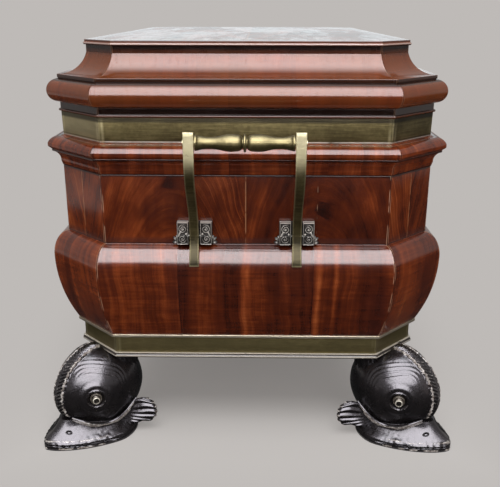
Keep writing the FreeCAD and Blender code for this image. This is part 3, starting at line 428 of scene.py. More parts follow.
def brass(slot, dark, middle, light, rough, shine, streaks, depth=0.0004, handled=0.0,
          pale=(196, 184, 144)):
    """Tarnished brass: cloudy patina, fine level scratches, pale where it is rubbed or worn by hands,
    with painted highlights and painted shade.
    """
    recipe = new_recipe(slot)
    x, y, z = recipe.place()
    _, _, side, mitre = recipe.maps()
    rub = recipe.rub()
    cloud = noise(x, y, z, 4.0, 0.6, 16.0)
    fleck = noise(x, y, z, 4.0, 0.7, 150.0)
    drawn = noise(x * 20, y * 20, z * 600, 3.0, 0.6)
    blotch = noise(x * 7, y * 7, z * 20, 3.0, 0.6)
    tone = cloud * 0.45 + blotch * 0.35 + fleck * 0.25 + drawn * streaks + 0.025 - streaks * 0.5
    arris = mitre.bell(0.0045, 0.0034) * blotch.step(0.35, 0.6)
    # Painted light: one chamfer of the upper band (side 5) is made paler in blotches, as if more light
    # fell on it.
    chamfer_light = side.math("COMPARE", 5.0, 0.5) * z.step(0.44, 0.445) * blotch.step(0.2, 0.7)
    # Painted shade: the tails, where they lie on the belly, are painted nearly black.
    tail_shade = z.band(0.27, 0.28, 0.318, 0.338) * (1.0 - rub)
    on_case, on_handle = abs(y).step(0.452, 0.448), abs(y).step(0.455, 0.468)
    # Painted shade along the upper band's top, under the lid; the same mask also darkens a line just
    # above the band's foot.
    painted_shade = z.step(0.4786, 0.4822) + z.bell(BAND_FOOT + 0.0034, 0.0014) * 0.7
    bare_edge = z.bell(BAND_FOOT + 0.0010, 0.0011) * on_case * cloud.step(0.3, 0.45)
    grip = abs(x).step(0.0632, 0.0622)
    # Painted highlight, together with wear from hands: the upright tops of the arms and the top half of
    # each grip are painted paler.
    held_and_highlight = (z + cloud * 0.03).step(0.430, 0.480) * (1.0 - grip) + grip * z.step(0.461, 0.472) * 0.12
    held_and_highlight = held_and_highlight * on_handle * handled * fleck.step(0.1, 0.4)
    colour = tone.ramp((0.32, dark), (0.52, middle), (0.78, light)).paint(
        (rub * fleck.step(0.25, 0.45), pale), (arris * 0.4, pale), (chamfer_light * 0.5, pale),
        (tail_shade * 0.8, (14, 12, 7)), (z.step(0.20, 0.19) * 0.45, light),
        (painted_shade * on_case * 0.8, (18, 14, 9)),
        (bare_edge * 0.8, (214, 208, 202)), (held_and_highlight, (214, 204, 168)))
    finish(colour, rough + fleck * 0.18, (fleck * 0.6 + drawn * 0.4).bump(depth), Metallic=shine)


brass("aged_brass", (42, 36, 18), (76, 67, 40), (118, 107, 72), 0.32, 0.8, 0.32, handled=0.68)
brass("brass_line", (96, 84, 66), (150, 136, 116), (206, 196, 178), 0.28, 0.85, 0.3)
brass("brass_hardware", (116, 92, 50), (166, 136, 80), (204, 178, 118), 0.28, 0.9, 0.3)
brass("steel_hardware", (62, 60, 58), (104, 102, 100), (160, 158, 156), 0.32, 0.9, 0.3)
brass("bracket_metal", (12, 9, 8), (26, 20, 18), (66, 55, 50), 0.3, 0.25, 0.0, 0.0002,
      pale=(216, 208, 200))

# %% [markdown]
# ## Ebonised carving
#
# The feet are carved wood, stained black and waxed. Where they stand proud they are rubbed down to
# a dull grey-brown. The carving writes that into the mesh itself, as the attribute "rub", which also
# carries a painted highlight on the lower rim of each eye.

# %% Carved black and worn gilt
recipe = new_recipe("ebonised_carving")
x, y, z = recipe.place()
grain = noise(x, y, z, 4.0, 0.65, 90.0)
cloud = noise(x, y, z, 3.0, scale=22.0)
chips = noise(x, y, z, 3.0, 0.7, 210.0)
worn = (recipe.rub() + grain * 0.7 + chips * 0.7 - 1.05).step(0.0, 0.35)
black = cloud.ramp((0.3, (14, 12, 12)), (0.6, (26, 23, 23)), (0.85, (44, 37, 36)))
bare = chips.ramp((0.3, (92, 76, 66)), (0.5, (150, 142, 136)), (0.72, (226, 222, 217)))
relief = grain.bump(0.0005, chips.bump(0.0002))
finish(black.paint((worn * 0.85, bare)), 0.20 + grain * 0.16 + worn * 0.2, relief, IOR=1.48,
       Coat_Weight=0.35, Coat_Roughness=0.15, Specular_Tint=(244, 238, 252))

recipe = new_recipe("worn_gilt")
x, y, z = recipe.place()
fleck = noise(x, y, z, 4.0, 0.7, 260.0)
worn = fleck * 0.5 + recipe.rub() * 0.7 - 0.1
colour = worn.ramp((0.1, (12, 10, 10)), (0.4, (84, 76, 68)), (0.75, (226, 220, 206)))
finish(colour, fleck * 0.2 + 0.2, fleck.bump(0.0003), Metallic=0.3)

recipe = new_recipe("black_moulding")
x, y, z = recipe.place()
cloud = noise(x, y, z, 4.0, 0.65, 60.0)
edges = (z.bell(0.1325, 0.0012) + z.bell(0.1372, 0.0010)) * cloud.step(0.34, 0.42)
colour = cloud.ramp((0.3, (26, 21, 19)), (0.7, (54, 44, 38))).paint((edges, (188, 180, 168)))
finish(colour, cloud * 0.2 + 0.25, cloud.bump(0.0003))

# %% [markdown]
# ## Surfaces from grids of points
#
# Every new piece is one or more grids of points worked out by numpy in one go. Rows go round a
# section and columns along a path. A grid is closed either because its rows run round in a loop
# or because its first and last columns shrink to a point. Points that coincide are merged, which
# also turns the squares at a pole into triangles, and the faces are made to point outwards.


# %% A piece from its grids
def quads(rows, cols, loop):
    """Corner numbers of the squares of a grid; with loop its last row joins its first."""
    r, c = np.arange(rows if loop else rows - 1)[:, None], np.arange(cols - 1)
    after = (r + 1) % rows
    corners = [r * cols + c, r * cols + c + 1, after * cols + c + 1, after * cols + c]
    return np.stack(corners, -1).reshape(-1, 4)


def corner_values(field, loop):
    """A field on the grid's points, read at the corners of the squares. A loop needs one row more."""
    rows = np.concatenate([field, 2 * field[-1:] - field[-2:-1]]) if loop else field
    return np.stack([rows[:-1, :-1], rows[:-1, 1:], rows[1:, 1:], rows[1:, :-1]], 2).ravel()


def write_mesh(name, points, faces, maps):
    """A new mesh; `maps` holds its UV maps, as lists of numbers at the corners of its faces."""
    mesh = bpy.data.meshes.new(name)
    mesh.from_pydata(points.reshape(-1, 3).tolist(), [], faces.tolist())
    for key, found in maps.items():
        if len(found):
            mesh.uv_layers.new(name=key).data.foreach_set("uv", np.concatenate(found))
    return mesh


def merge(mesh, distance, tidy):
    """Merges points that coincide, and then lets `tidy` work on the faces."""
    work = bmesh.new()
    work.from_mesh(mesh)
    bmesh.ops.remove_doubles(work, verts=work.verts, dist=distance)
    tidy(work)
    work.to_mesh(mesh)
    work.free()


def show(name, data):
    """A new object in the scene."""
    made = bpy.data.objects.new(name, data)
    bpy.context.scene.collection.objects.link(made)
    return made


def piece(name, grids, slot, body, nodes, crease=38.0):
    """Writes grids as one mesh object. A grid is a dict: points, and maybe loop, size, spot, rub."""
    points, faces, maps, rub, start = [], [], {key: [] for key in MAPS}, [], 0
    for grid in grids:
        rows, cols, _ = grid["points"].shape
        loop = grid.get("loop", True)
        points.append(grid["points"].reshape(-1, 3))
        faces.append(quads(rows, cols, loop) + start)
        rub.append(np.broadcast_to(grid.get("rub", 0.0), (rows, cols)).ravel())
        start += rows * cols
        for key, found in maps.items():
            if key in grid:
                found.append(corner_values(grid[key], loop))
    mesh = write_mesh(name, np.concatenate(points), np.concatenate(faces), maps)
    attribute = mesh.attributes.new("rub", "FLOAT", "POINT")
    attribute.data.foreach_set("value", np.concatenate(rub).astype(np.float32))
    merge(mesh, 4e-6, lambda work: bmesh.ops.recalc_face_normals(work, faces=work.faces))
    mesh.shade_smooth()
    mesh.set_sharp_from_angle(angle=math.radians(crease))
    mesh.materials.append(FINISHES[slot])
    made = show(name, mesh)
    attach(made, body)
    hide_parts(*nodes)
    print(f"{name}: {len(mesh.vertices)} points, {len(mesh.polygons)} faces")


# %% [markdown]
# ## Mouldings carried round the octagon
#
# A joiner runs a moulding in lengths and mitres them at each corner. The surface does the same: a
# closed profile of (out, height) is carried along each of the eight sides, and because a corner of
# the octagon moves outwards along its mitre line, the ends of each length lie on the mitre by
# themselves. Each arris and mitre is eased by a fraction of a millimetre, because a dead sharp
# edge never shows the fine line of light that a real one has.

# %% The octagon
HALF_WIDTH = 260 * MM
HALF_LENGTH = 410 * MM
CORNER_CUT = 64.5 * MM
MITRE = 2 - math.sqrt(2)
EASE = 0.7 * MM
NO_ROUNDING = math.cos(math.radians(20))


def unit(vectors, least=0.0):
    """The same directions, each one long; `least` guards those that have no length."""
    return vectors / (np.linalg.norm(vectors, axis=-1, keepdims=True) + least)


def stack(*parts):
    """Points from their coordinates, which may be numbers, rows, columns or grids."""
    return np.stack(np.broadcast_arrays(*parts), -1)


def octagon(out):
    """Corners at distance `out` beyond the reference outline, anticlockwise: (8, ..., 2)."""
    out = np.asarray(out, float)
    w, l, c = HALF_WIDTH + out, HALF_LENGTH + out, CORNER_CUT + MITRE * out
    x = [w, w, w - c, c - w, -w, -w, c - w, w - c]
    y = [c - l, l - c, l, l, l - c, c - l, -l, -l]
    return np.stack([np.stack(x), np.stack(y)], -1)


def eased(corners, radius):
    """Rounds each sharp corner of a closed outline: a curve P(t) from just before to just after it."""
    points = np.array(corners, float)
    result = []
    befores, afters = np.roll(points, 1, 0) - points, np.roll(points, -1, 0) - points
    for before, point, after in zip(befores, points, afters):
        if -unit(before) @ unit(after) > NO_ROUNDING:
            result.append(point)
            continue
        cut = min(radius, 0.4 * np.linalg.norm(before), 0.4 * np.linalg.norm(after))
        a, b = point + unit(before) * cut, point + unit(after) * cut
        result += [a * (1 - t) ** 2 + point * 2 * t * (1 - t) + b * t**2 for t in (0, 0.33, 0.67, 1)]
    return np.array(result)


def mitred(profile, stations):
    """Eight grids, one for each side: P(i, s) = mitre corner of row i + s along the side."""
    corners = octagon(profile[:, 0])
    run = np.linalg.norm(np.diff(profile, axis=0, append=profile[:1]), axis=1)
    across = np.concatenate([[0], np.cumsum(run)])[:-1]
    grids = []
    for side in range(8):
        a, b = corners[side], corners[(side + 1) % 8]
        length = np.linalg.norm(b - a, axis=1)[:, None]
        even = 3 * EASE + np.linspace(0, 1, stations) * (length - 6 * EASE)
        s = np.concatenate([0 * length, EASE + 0 * length, even, length - EASE, length], 1)
        flat = a[:, None, :] + unit(b - a)[:, None, :] * s[:, :, None]
        for column, angle in ((0, side - 0.5), (-1, side + 0.5)):
            turn = math.radians(45 * angle)
            flat[:, column] -= 0.2 * EASE * np.array([math.cos(turn), math.sin(turn)])
        mitre = np.minimum(s, length - s)
        grids.append({"points": stack(flat[..., 0], flat[..., 1], profile[:, 1:]),
                      "size": stack(s - length / 2, across[:, None]), "spot": stack(side, mitre),
                      "rub": np.where(mitre < 1.5 * EASE, 0.3, 0.0)})
    return grids


def arc(a, b, bulge, count=14):
    """Points of a circular arc from a to b; bulge is its height to the left of the way it is drawn."""
    a, b = complex(*a), complex(*b)
    half = abs(b - a) / 2
    radius = (half**2 + bulge**2) / (2 * bulge)
    middle = (a + b) / 2 + 1j * (b - a) / (2 * half) * (bulge - radius)
    side = -1 if bulge > 0 else 1
    sweep = side * 2 * math.atan2(half, side * (bulge - radius))
    points = middle + (a - middle) * np.exp(1j * np.linspace(0, sweep, count))
    return [(point.real, point.imag) for point in points]


def round_part(middle_out, middle_height, wide, tall, first, last, count):
    """Points of an ellipse from one angle to another, in degrees."""
    turn = np.radians(np.linspace(first, last, count))
    return [(middle_out + wide * math.cos(a), middle_height + tall * math.sin(a)) for a in turn]


def levels(node):
    """Lowest and highest level of a node and how far its face stands out, in millimetres."""
    low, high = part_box(node)
    return low.z / MM, high.z / MM, (high.x - HALF_WIDTH) / MM


def moulding(node, slot, profile, body="root", radius=0.6, stations=9, back=-9.0):
    """A mitred moulding in place of its node: a profile from the bottom up, closed by a flat back."""
    corners = [(back, profile[0][1]), *profile, (back, profile[-1][1])]
    run = mitred(eased(np.array(corners) * MM, radius * MM), stations)
    piece(node + "_run", run, slot, body, [node])


# %% [markdown]
# ## The case, from the floor up
#
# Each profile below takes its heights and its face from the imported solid, so the finished moulding
# lies where the solid lies. The bands are drawn brass strips. The belly is one long curve from the
# foot to the widest line and a quarter of an ellipse over the shoulder.


# %% Base, brass bands and belly
def plain_band(node, slot, lean=0.0, **options):
    """A flat strip; with lean, its foot lies further in than its top."""
    low, high, face = levels(node)
    moulding(node, slot, [(face - lean, low), (face, high)], **options)


low, high, face = levels("base_moulding")
step_in = face - 1.4
bead = arc((step_in, low + 0.2), (step_in, 0.35 * low + 0.65 * high), -1.3, 9)
moulding("base_moulding", "black_moulding", [(step_in, low), *bead, (step_in, high)], radius=0.3)

plain_band("lower_brass_band", "aged_brass")
plain_band("belly_fillet", "brass_line", radius=0.5)

low, high, face = levels("belly_moulding")
foot, neck, widest = 0.5, 5.0, low + 106
deep, tall = face - foot, widest - low
belly_radius = (deep**2 + tall**2) / (2 * deep)
sagitta = belly_radius - math.sqrt(belly_radius**2 - (deep**2 + tall**2) / 4)
swell = arc((foot, low), (face, widest), -sagitta, 22)
shoulder = round_part(neck, widest, face - neck, 36, 5, 90, 16)
profile = [*swell, *shoulder, (neck, high)]
moulding("belly_moulding", "mahogany_belly", profile, radius=0.8, stations=15)

# %% [markdown]
# The frieze above the belly is as plain as a band. The cornice over it has a shallow cove and an
# ovolo, and a small fillet between them that catches a line of light.

# %% Frieze, cornice and upper band
plain_band("frieze_panels", "mahogany_flame", stations=15)

low, high, face = levels("cornice_cove")
cove = arc((8.2, low + 6.5), (face, high - 3), 3.4)
moulding("cornice_cove", "mahogany_moulding", [(6, low), *cove, (face, high)], radius=0.5)

low, high, face = levels("cornice_ovolo")
ovolo = arc((face, low + 8.8), (7, high - 1.8), -3.2)
profile = [(19, low), (face, low + 3.9), *ovolo, (3, high)]
moulding("cornice_ovolo", "mahogany_moulding", profile, radius=0.8)

plain_band("upper_brass_band", "aged_brass", lean=0.8, back=0.0)

# %% [markdown]
# ## The lid
#
# From its joint with the case up: a thin bead, a plain apron, a full torus, a fillet, a cove that
# sweeps in, and the plain edge of the top with a rounded lip.

# %% Lid mouldings
SEAM_RISE = 2.5
EDGE = -34.5


def lid_moulding(node, profile, **options):
    moulding(node, "mahogany_moulding", profile, "lid", **options)


low, high, face = levels("lid_apron")
bead_top = low + 3.6
bead = arc((face - 1.8, low), (face - 1.8, bead_top), -1.8, 9)
lid_moulding("lid_apron", [*bead, (3.5, bead_top), (3.5, high)], radius=0.3, back=-8)

low, high, face = levels("lid_torus_moulding")
half = (high - low) / 2
torus = round_part(face - half, low + half, half, half, -90, 90, 27)
lid_moulding("lid_torus_moulding", torus, radius=0.5, back=-8)

low, high, face = levels("lid_fillet")
fillet = [(face - 1, low), (face - 1, low + 1.3), (face, low + 1.3), (face, high)]
lid_moulding("lid_fillet", fillet, radius=0.5, back=-8)

low, high, face = levels("lid_cove_moulding")
cove = arc((0, low), (EDGE, high + SEAM_RISE), 7.3, 20)
lid_moulding("lid_cove_moulding", cove, radius=0.3, stations=13, back=-60)

low, high, face = levels("lid_edge_moulding")
lip = high - 7
bead = round_part(EDGE + 1.3, lip + 2.1, 2.1, 2.1, -90, 80, 12)
rim = [(EDGE + 1.9, high - 0.6), (EDGE + 1.1, high)]
profile = [(EDGE, low + SEAM_RISE), (EDGE, lip), *bead, *rim]
lid_moulding("lid_edge_moulding", profile, radius=0.4, stations=13, back=-55)

# %% [markdown]
# The top is one broad board inside its edge. Its surface is the same octagon shrunk in steps
# towards the middle: P(r, s) = r * outline(s), underneath, up the edge and back over the top.


# %% The top board
TOP_SIDE = 9.0


def plate(out, low, high):
    """An eight-sided board, from the middle of its underside over the edge to the middle of its top."""
    shares = np.array([0.0, 0.5, 1.0, 1.0, 0.97, 0.75, 0.5, 0.25, 0.0])[:, None, None]
    heights = np.array([low] * 3 + [high] * 6)[:, None]
    share_along = np.linspace(0, 1, 9)[None, :, None]
    corners = octagon(out)
    grids = []
    for a, b in zip(corners, np.roll(corners, -1, 0)):
        flat = shares * (a * (1 - share_along) + b * share_along)
        x, y = flat[..., 0], flat[..., 1]
        grids.append({"points": stack(x, y, heights), "loop": False, "size": stack(x, y * 0.5),
                      "spot": stack(TOP_SIDE, 0.1 + 0 * x)})
    return grids


low, high, _ = levels("lid_top_board")
board = plate(-55 * MM, low * MM, high * MM)
piece("lid_top_board_face", board, "mahogany_flame", "lid", ["lid_top_board"])

# %% [markdown]
# ## The end handles
#
# Each handle is two bent brass straps joined by a turned grip, and it swings on pins between the
# lugs of two cast brackets. The strap is a rounded rectangle carried along a smooth line through
# ten points; the line is a natural cubic spline, which is the shape a thin springy rod takes.


# %% A smooth line through points
def soft(value, low, high):
    """0 at low, 1 at high, with the smooth rise t*t*(3 - 2t) between; low may be the larger one."""
    t = np.clip((value - low) / (high - low), 0, 1)
    return t * t * (3 - 2 * t)


def ridge(value, middle, width):
    """1 at the middle, falling smoothly to 0 at `width` to each side."""
    return soft(np.abs(value - middle), width, 0)


def spline(points, count):
    """Natural cubic spline through points, at `count` even steps: solves for its second derivatives."""
    points = np.array(points, float)
    steps = np.diff(points, axis=0)
    h = np.linalg.norm(steps, axis=1, keepdims=True)
    knots = np.concatenate([[0], np.cumsum(h)])
    n = len(points)
    matrix = np.eye(n)
    k = np.arange(1, n - 1)
    matrix[k, k - 1], matrix[k, k], matrix[k, k + 1] = h[:-1, 0], 2 * (h[:-1, 0] + h[1:, 0]), h[1:, 0]
    right = np.pad(6 * np.diff(steps / h, axis=0), ((1, 1), (0, 0)))
    second = np.linalg.solve(matrix, right)
    t = np.linspace(0, knots[-1], count)
    k = np.clip(np.searchsorted(knots, t, side="right") - 1, 0, n - 2)
    a, b, h = (knots[k + 1] - t)[:, None], (t - knots[k])[:, None], h[k]
    before, after = second[k] * (a**3 - a * h**2), second[k + 1] * (b**3 - b * h**2)
    return (points[k] * a + points[k + 1] * b + (before + after) / 6) / h


def circle(count):
    """Angles round a full turn, as a column."""
    return np.linspace(0, 2 * math.pi, count, endpoint=False)[:, None]


def capped(points, rub):
    """A tube with closed ends: the middle of its first and its last ring, as one more column each."""
    first, last = [0 * ring + ring.mean(0) for ring in (points[:, :1], points[:, -1:])]
    rub = np.pad(np.broadcast_to(rub, points.shape[:2]), ((0, 0), (1, 1)), mode="edge")
    return {"points": np.concatenate([first, points, last], 1), "rub": rub}


def turned_form(profile, start, axis, count):
    """A turned piece: P(a, k) = start + axis * along_k + radius_k * (cos a, sin a)."""
    profile = np.array(profile, float)
    axis = unit(np.array(axis, float))
    aside = unit(np.cross(axis, (0, 0, 1.0)))
    a = circle(count)[..., None]
    ring = np.cos(a) * aside + np.sin(a) * np.cross(axis, aside)
    return start + profile[:, :1] * axis + ring * profile[:, 1:]


# %% [markdown]
# The same numbers as in the solids give the strap's line: its tail lies along the belly, then it
# passes in front of its pivot, leans out, and stands upright in front of the grip.

# %% Arms and grips
END_FACE = HALF_LENGTH + 5.5 * MM
ARM_X = 70.7 * MM
ARM_WIDTH, ARM_THICK = 15.5 * MM, 4.5 * MM
PIVOT = (7.6, 326.0)
GRIP_AXIS = (59.5, 465.0)
ARM_LINE = [(23.57, 286.98), (22.17, 293.58), (14.3, 313.0), (12.3, 326.0), (14.7, 345.4),
            (34.6, 380.47), (51.4, 402.2), (62.34, 425.6), (64.25, 452.3), (64.25, 479.0)]
ENDS = ((-1, "right"), (1, "left"))


def at_end(hand, x, out, height):
    """A point at an end's frieze: hand -1 is the right end, +1 the left, which is half a turn away."""
    return stack(-hand * x, hand * (END_FACE + out), height)


def strap(hand, x):
    """A strip along the arm's line: P = line + normal * n + x * w, (w, n) round a small rectangle."""
    line = spline(np.array(ARM_LINE) * MM, 70)
    tangent = unit(np.gradient(line, axis=0))
    w, n = ARM_WIDTH / 2, ARM_THICK / 2
    face = [(-w, -n), (-0.7 * w, -n), (0, -n), (0.7 * w, -n), (w, -n)]
    section = eased(face + [(-a, -b) for a, b in face], 1.0 * MM)
    height = line[:, 1] / MM
    shrink = np.interp(height, [287, 300, 340, 380, 430, 455], [0.86, 0.84, 0.80, 0.80, 0.84, 0.88])
    flat = np.ones(len(line))
    flat[[0, -1]] = 0.8
    out = line[:, 0] + tangent[:, 1] * section[:, 1:] * flat
    rise = line[:, 1] - tangent[:, 0] * section[:, 1:] * flat
    edge = (np.abs(section) > (w - 1.2 * MM, n - 1.2 * MM)).all(1)[:, None] * 0.3
    rub = np.maximum(edge, ridge(height, 287.5, 2.2) * 0.7)
    return capped(at_end(hand, x + section[:, :1] * shrink, out, rise), rub)


def arm_eye(hand, x, middle, radius):
    """The eye that the strap carries on its back, with softened rims."""
    out, height = np.array(middle) * MM
    w, r, e = 0.86 * ARM_WIDTH, radius * MM, 0.6 * MM
    start, stop = at_end(hand, x - w / 2, out, height), at_end(hand, x + w / 2, out, height)
    profile = [(0, 0), (0, r - e), (e, r), (w - e, r), (w, r - e), (w, 0)]
    return {"points": turned_form(profile, start, stop - start, 32)}


for hand, end_name in ENDS:
    body = end_name + "_handle"
    parts = []
    for x in (-ARM_X, ARM_X):
        parts += [strap(hand, x), arm_eye(hand, x, PIVOT, 4.5), arm_eye(hand, x, GRIP_AXIS, 7.0)]
    piece(body + "_straps", parts, "aged_brass", body, [body + "_arms"], 40)

# %% [markdown]
# The grip is turned in one piece: a thin ring in the middle between two deep grooves, a swelling
# and a neck to each side, and a collar against each arm. Its profile is a table of
# (distance from the middle, radius), made smooth by the same spline.

# %% The turned grips
ring_part = [(0, 11.6), (0.7, 11.6), (1.3, 11.0), (1.6, 9.4), (2.1, 6.9), (3.1, 6.7), (3.8, 7.6)]
swell = [(4.2, 8.4), (6, 9.6), (11, 10.6), (17, 11.0), (23, 10.6), (30, 9.2), (38, 7.7), (44, 7.3),
         (52, 7.9), (58.5, 9.4)]
collar = [(59.2, 9.9), (60.0, 9.3), (60.6, 10.0), (62.4, 10.2), (62.95, 9.6), (62.95, 4.0),
          (78.4, 4.0), (78.4, 0)]
half_grip = np.array([*ring_part, *spline(swell, 30), *collar])
grip_profile = np.concatenate([half_grip[::-1] * (-1, 1), half_grip[1:]]) * MM
for hand, end_name in ENDS:
    grid = turned_form(grip_profile, at_end(hand, 0, *np.array(GRIP_AXIS) * MM), (1, 0, 0), 56)
    body = end_name + "_handle"
    piece(body + "_turned_grip", [{"points": grid}], "aged_brass", body, [body + "_grip"], 30)

# %% [markdown]
# ## Cast brackets
#
# A bracket is a thin plate with a lug on each side of the strap. The lugs' faces are cast with two
# curling scrolls and a leaf. The relief is a height field: around the eye of a scroll, the ridge
# lies where radius / pitch - angle / (full turn) is a whole number, which is a spiral.

# %% Bracket relief
BRACKET_HALF = 24.5
LUG_INNER = 8.05
BRACKET_FOOT, BRACKET_TOP = 312.3, 346.3
PLATE, LUG = 2.5, 12.0
LEAVES = ((0.15, 9.0, 2.6), (0.75, 10.0, 5.4), (1.35, 8.0, 7.2))
LEAF_WIDTH = 4.4


def scroll(a, b, centre_a, centre_b, reach, turn, hand):
    """Spiral ridge round (centre_a, centre_b), fading out at `reach`, with a bead for its eye."""
    da, db = a - centre_a, b - centre_b
    radius = np.hypot(da, db)
    phase = radius / 3.0 - hand * np.arctan2(db, da) / (2 * math.pi) + turn
    ridge_line = soft(np.cos(2 * math.pi * phase), -0.2, 0.9)
    return np.maximum(ridge_line * soft(radius, reach, reach - 1.2), soft(radius, 1.5, 0.7))


def lug_grid(hand, x_from, x_to, outer):
    """One lug's carved face: two scrolls, a leaf and a border stand above a sunk ground."""
    a = np.linspace(0, 1, 52)[:, None]
    wide, tall = x_to - x_from, BRACKET_TOP - BRACKET_FOOT - 2
    fa = (a if outer > 0 else 1 - a) * wide
    fb = np.linspace(0, 1, 96) * tall
    leaf = soft(np.abs(fa - 12.6 + 0.45 * (fb - 15)), 2.0, 0.8) * soft(np.abs(fb - 15.5), 4.6, 3.4)
    knob = soft(np.hypot(fa - 3.2, fb - 15.4), 2.2, 1.2)
    rim = np.minimum(np.minimum(fa, wide - fa), np.minimum(fb, tall - fb))
    scrolls = [scroll(fa, fb, 7.6, 22.6, 7.0, 0.2, 1), scroll(fa, fb, 8.6, 8.4, 6.6, 0.6, -1)]
    cut = np.max([*scrolls, leaf, knob, soft(rim, 1.5, 0.9)], 0)
    out = (LUG - 2.4 + 2.3 * cut) * (0.6 + 0.4 * np.clip(rim / 0.5, 0, 1)) * (rim > 1e-9)
    points = at_end(hand, (x_from + wide * a) * MM, out * MM, (BRACKET_FOOT + 2 + fb) * MM)
    return {"points": points, "loop": False, "rub": soft(cut, 0.55, 1.0) * 0.6}


def leaf_tip(hand, x, z, angle, long):
    """A small cast leaf: a long ellipsoid lying on the frieze, pointed and dented along its middle."""
    turn, t = circle(20), np.linspace(0, math.pi, 16)
    along = -np.cos(t) * long / 2
    girth = np.sin(t) ** 1.4
    across = np.cos(turn) * girth * LEAF_WIDTH / 2
    up = np.sin(turn) * girth * 2.2 * (1 - 0.35 * np.exp(-((across / 0.7) ** 2))) + 2.0
    c, d = math.cos(angle), math.sin(angle)
    points = at_end(hand, (x + along * c - across * d) * MM, up * MM, (z + along * d + across * c) * MM)
    return {"points": points, "rub": soft(np.sin(turn) * girth, 0.5, 1.0) * 0.45}


def flat_box(hand, x0, x1, thick, z0, z1):
    """A plate with softened arrises: an eased rectangle in x and height, carried from back to front."""
    section = eased([(x0, z0), (x1, z0), (x1, z1), (x0, z1)], 0.8)
    middle = section.mean(0)
    shares = np.array([0, 1, 1, 0.985, 0])[:, None]
    shapes = (middle + (section - middle)[:, None] * shares) * MM
    outs = np.array([0, 0, thick - 0.4, thick, thick]) * MM
    return {"points": at_end(hand, shapes[..., 0], outs, shapes[..., 1])}


for hand, end_name in ENDS:
    for sign, where in ((-1, "front"), (1, "back")):
        middle = ARM_X / MM * sign * -hand
        x0, x1 = middle - BRACKET_HALF, middle + BRACKET_HALF
        grids = [flat_box(hand, x0, x1, PLATE, BRACKET_FOOT, BRACKET_TOP)]
        for outer in (-1, 1):
            edge = middle + outer * (BRACKET_HALF - 0.5)
            x0, x1 = sorted((middle + outer * LUG_INNER, edge))
            grids.append(lug_grid(hand, x0, x1, outer))
            grids.append(flat_box(hand, x0, x1, LUG - 3.2, BRACKET_FOOT + 2, BRACKET_TOP - 0.2))
            for angle, long, rise in LEAVES:
                x = edge + outer * 0.36 * long * math.cos(angle)
                z = BRACKET_FOOT + rise + 0.3 * long * math.sin(angle)
                grids.append(leaf_tip(hand, x, z, angle if outer > 0 else math.pi - angle, long))
        node = f"{end_name}_bracket_{where}"
        piece(node + "_cast", grids, "bracket_metal", "root", [node], 50)

# %% [markdown]
# ## Dolphin feet
#
# The carver worked each head from one block, so its measures are given in the foot's own directions:
# forwards over the corner, sideways to the left, and up, in millimetres. In plan the head is an egg.
# Stacked eggs, as large as the sections of an ellipsoid, make the bulb. The bill is a low stack of
# longer eggs, and the neck fills the space behind up to the frame.

# %% Eggs
FOOT_HEIGHT = 130.0
HEAD = {"forward": 4.8, "rise": 73.2, "length": 72.5, "width": 58.1, "height": 64.7, "point": 1.6}
AROUND = circle(300)


def egg(angle, front, back, half_width, widest, point=2.0):
    """Plan at an angle: |x|**point + |y|**point = 1 before the widest line, an ellipse behind it."""
    c, s = np.cos(angle), np.sin(angle)
    power = np.where(c > 0, 2 / point, 1.0)
    reach = np.where(c > 0, front - widest, widest + back)
    forward = widest + reach * np.sign(c) * np.abs(c) ** power
    return forward, half_width * np.sign(s) * np.abs(s) ** power


def push(points, height):
    """Moves each point of a looped grid along its normal, the cross product of its two directions."""
    wrapped = np.concatenate([points[-1:], points, points[:1]])
    normal = np.cross(wrapped[2:] - wrapped[:-2], np.gradient(points, axis=1))
    return points + unit(normal, 1e-9) * height[..., None]


def lumps(f, l, z, scale, seed):
    """Uneven hand work between -1 and 1: a sum of sines in directions that a seed picks."""
    pick = np.random.default_rng(seed)
    total = 0
    for _ in range(7):
        a, b, c, start = pick.normal(size=4)
        total = total + np.sin((f * a + l * b + z * c) / scale + 6 * start)
    return total / 3.5


# %% [markdown]
# Relief is a height at each point of the head. There is a dish with a raised rim for each eye, folds
# of skin in arcs above and behind the eye, and over the brow a crest: two scalloped borders with
# slanting flutes between them.


# %% Relief of the head
EYE = (43.5, 48.5, 75.5)
FOLD_PITCH, BORDER_PITCH, FLUTE_PITCH = 4.4, 8.5, 5.5


def eye_seat(hand):
    """Where the eye's axis meets the head, and the head's normal there, which is the way it looks."""
    rel = np.array(EYE) - (HEAD["forward"], 0, HEAD["rise"])
    share = math.sqrt(1 - (rel[2] / HEAD["height"]) ** 2)
    along, across = rel[0] / (HEAD["length"] * share), rel[1] / (HEAD["width"] * share)
    p = HEAD["point"]
    size = (along**p + across**p) ** (1 / p)
    point = np.array([HEAD["forward"] + rel[0] / size, hand * rel[1] / size, EYE[2]])
    look = np.array([along ** (p - 1) / HEAD["length"], hand * across ** (p - 1) / HEAD["width"],
                     rel[2] / HEAD["height"] ** 2])
    return point, unit(look)


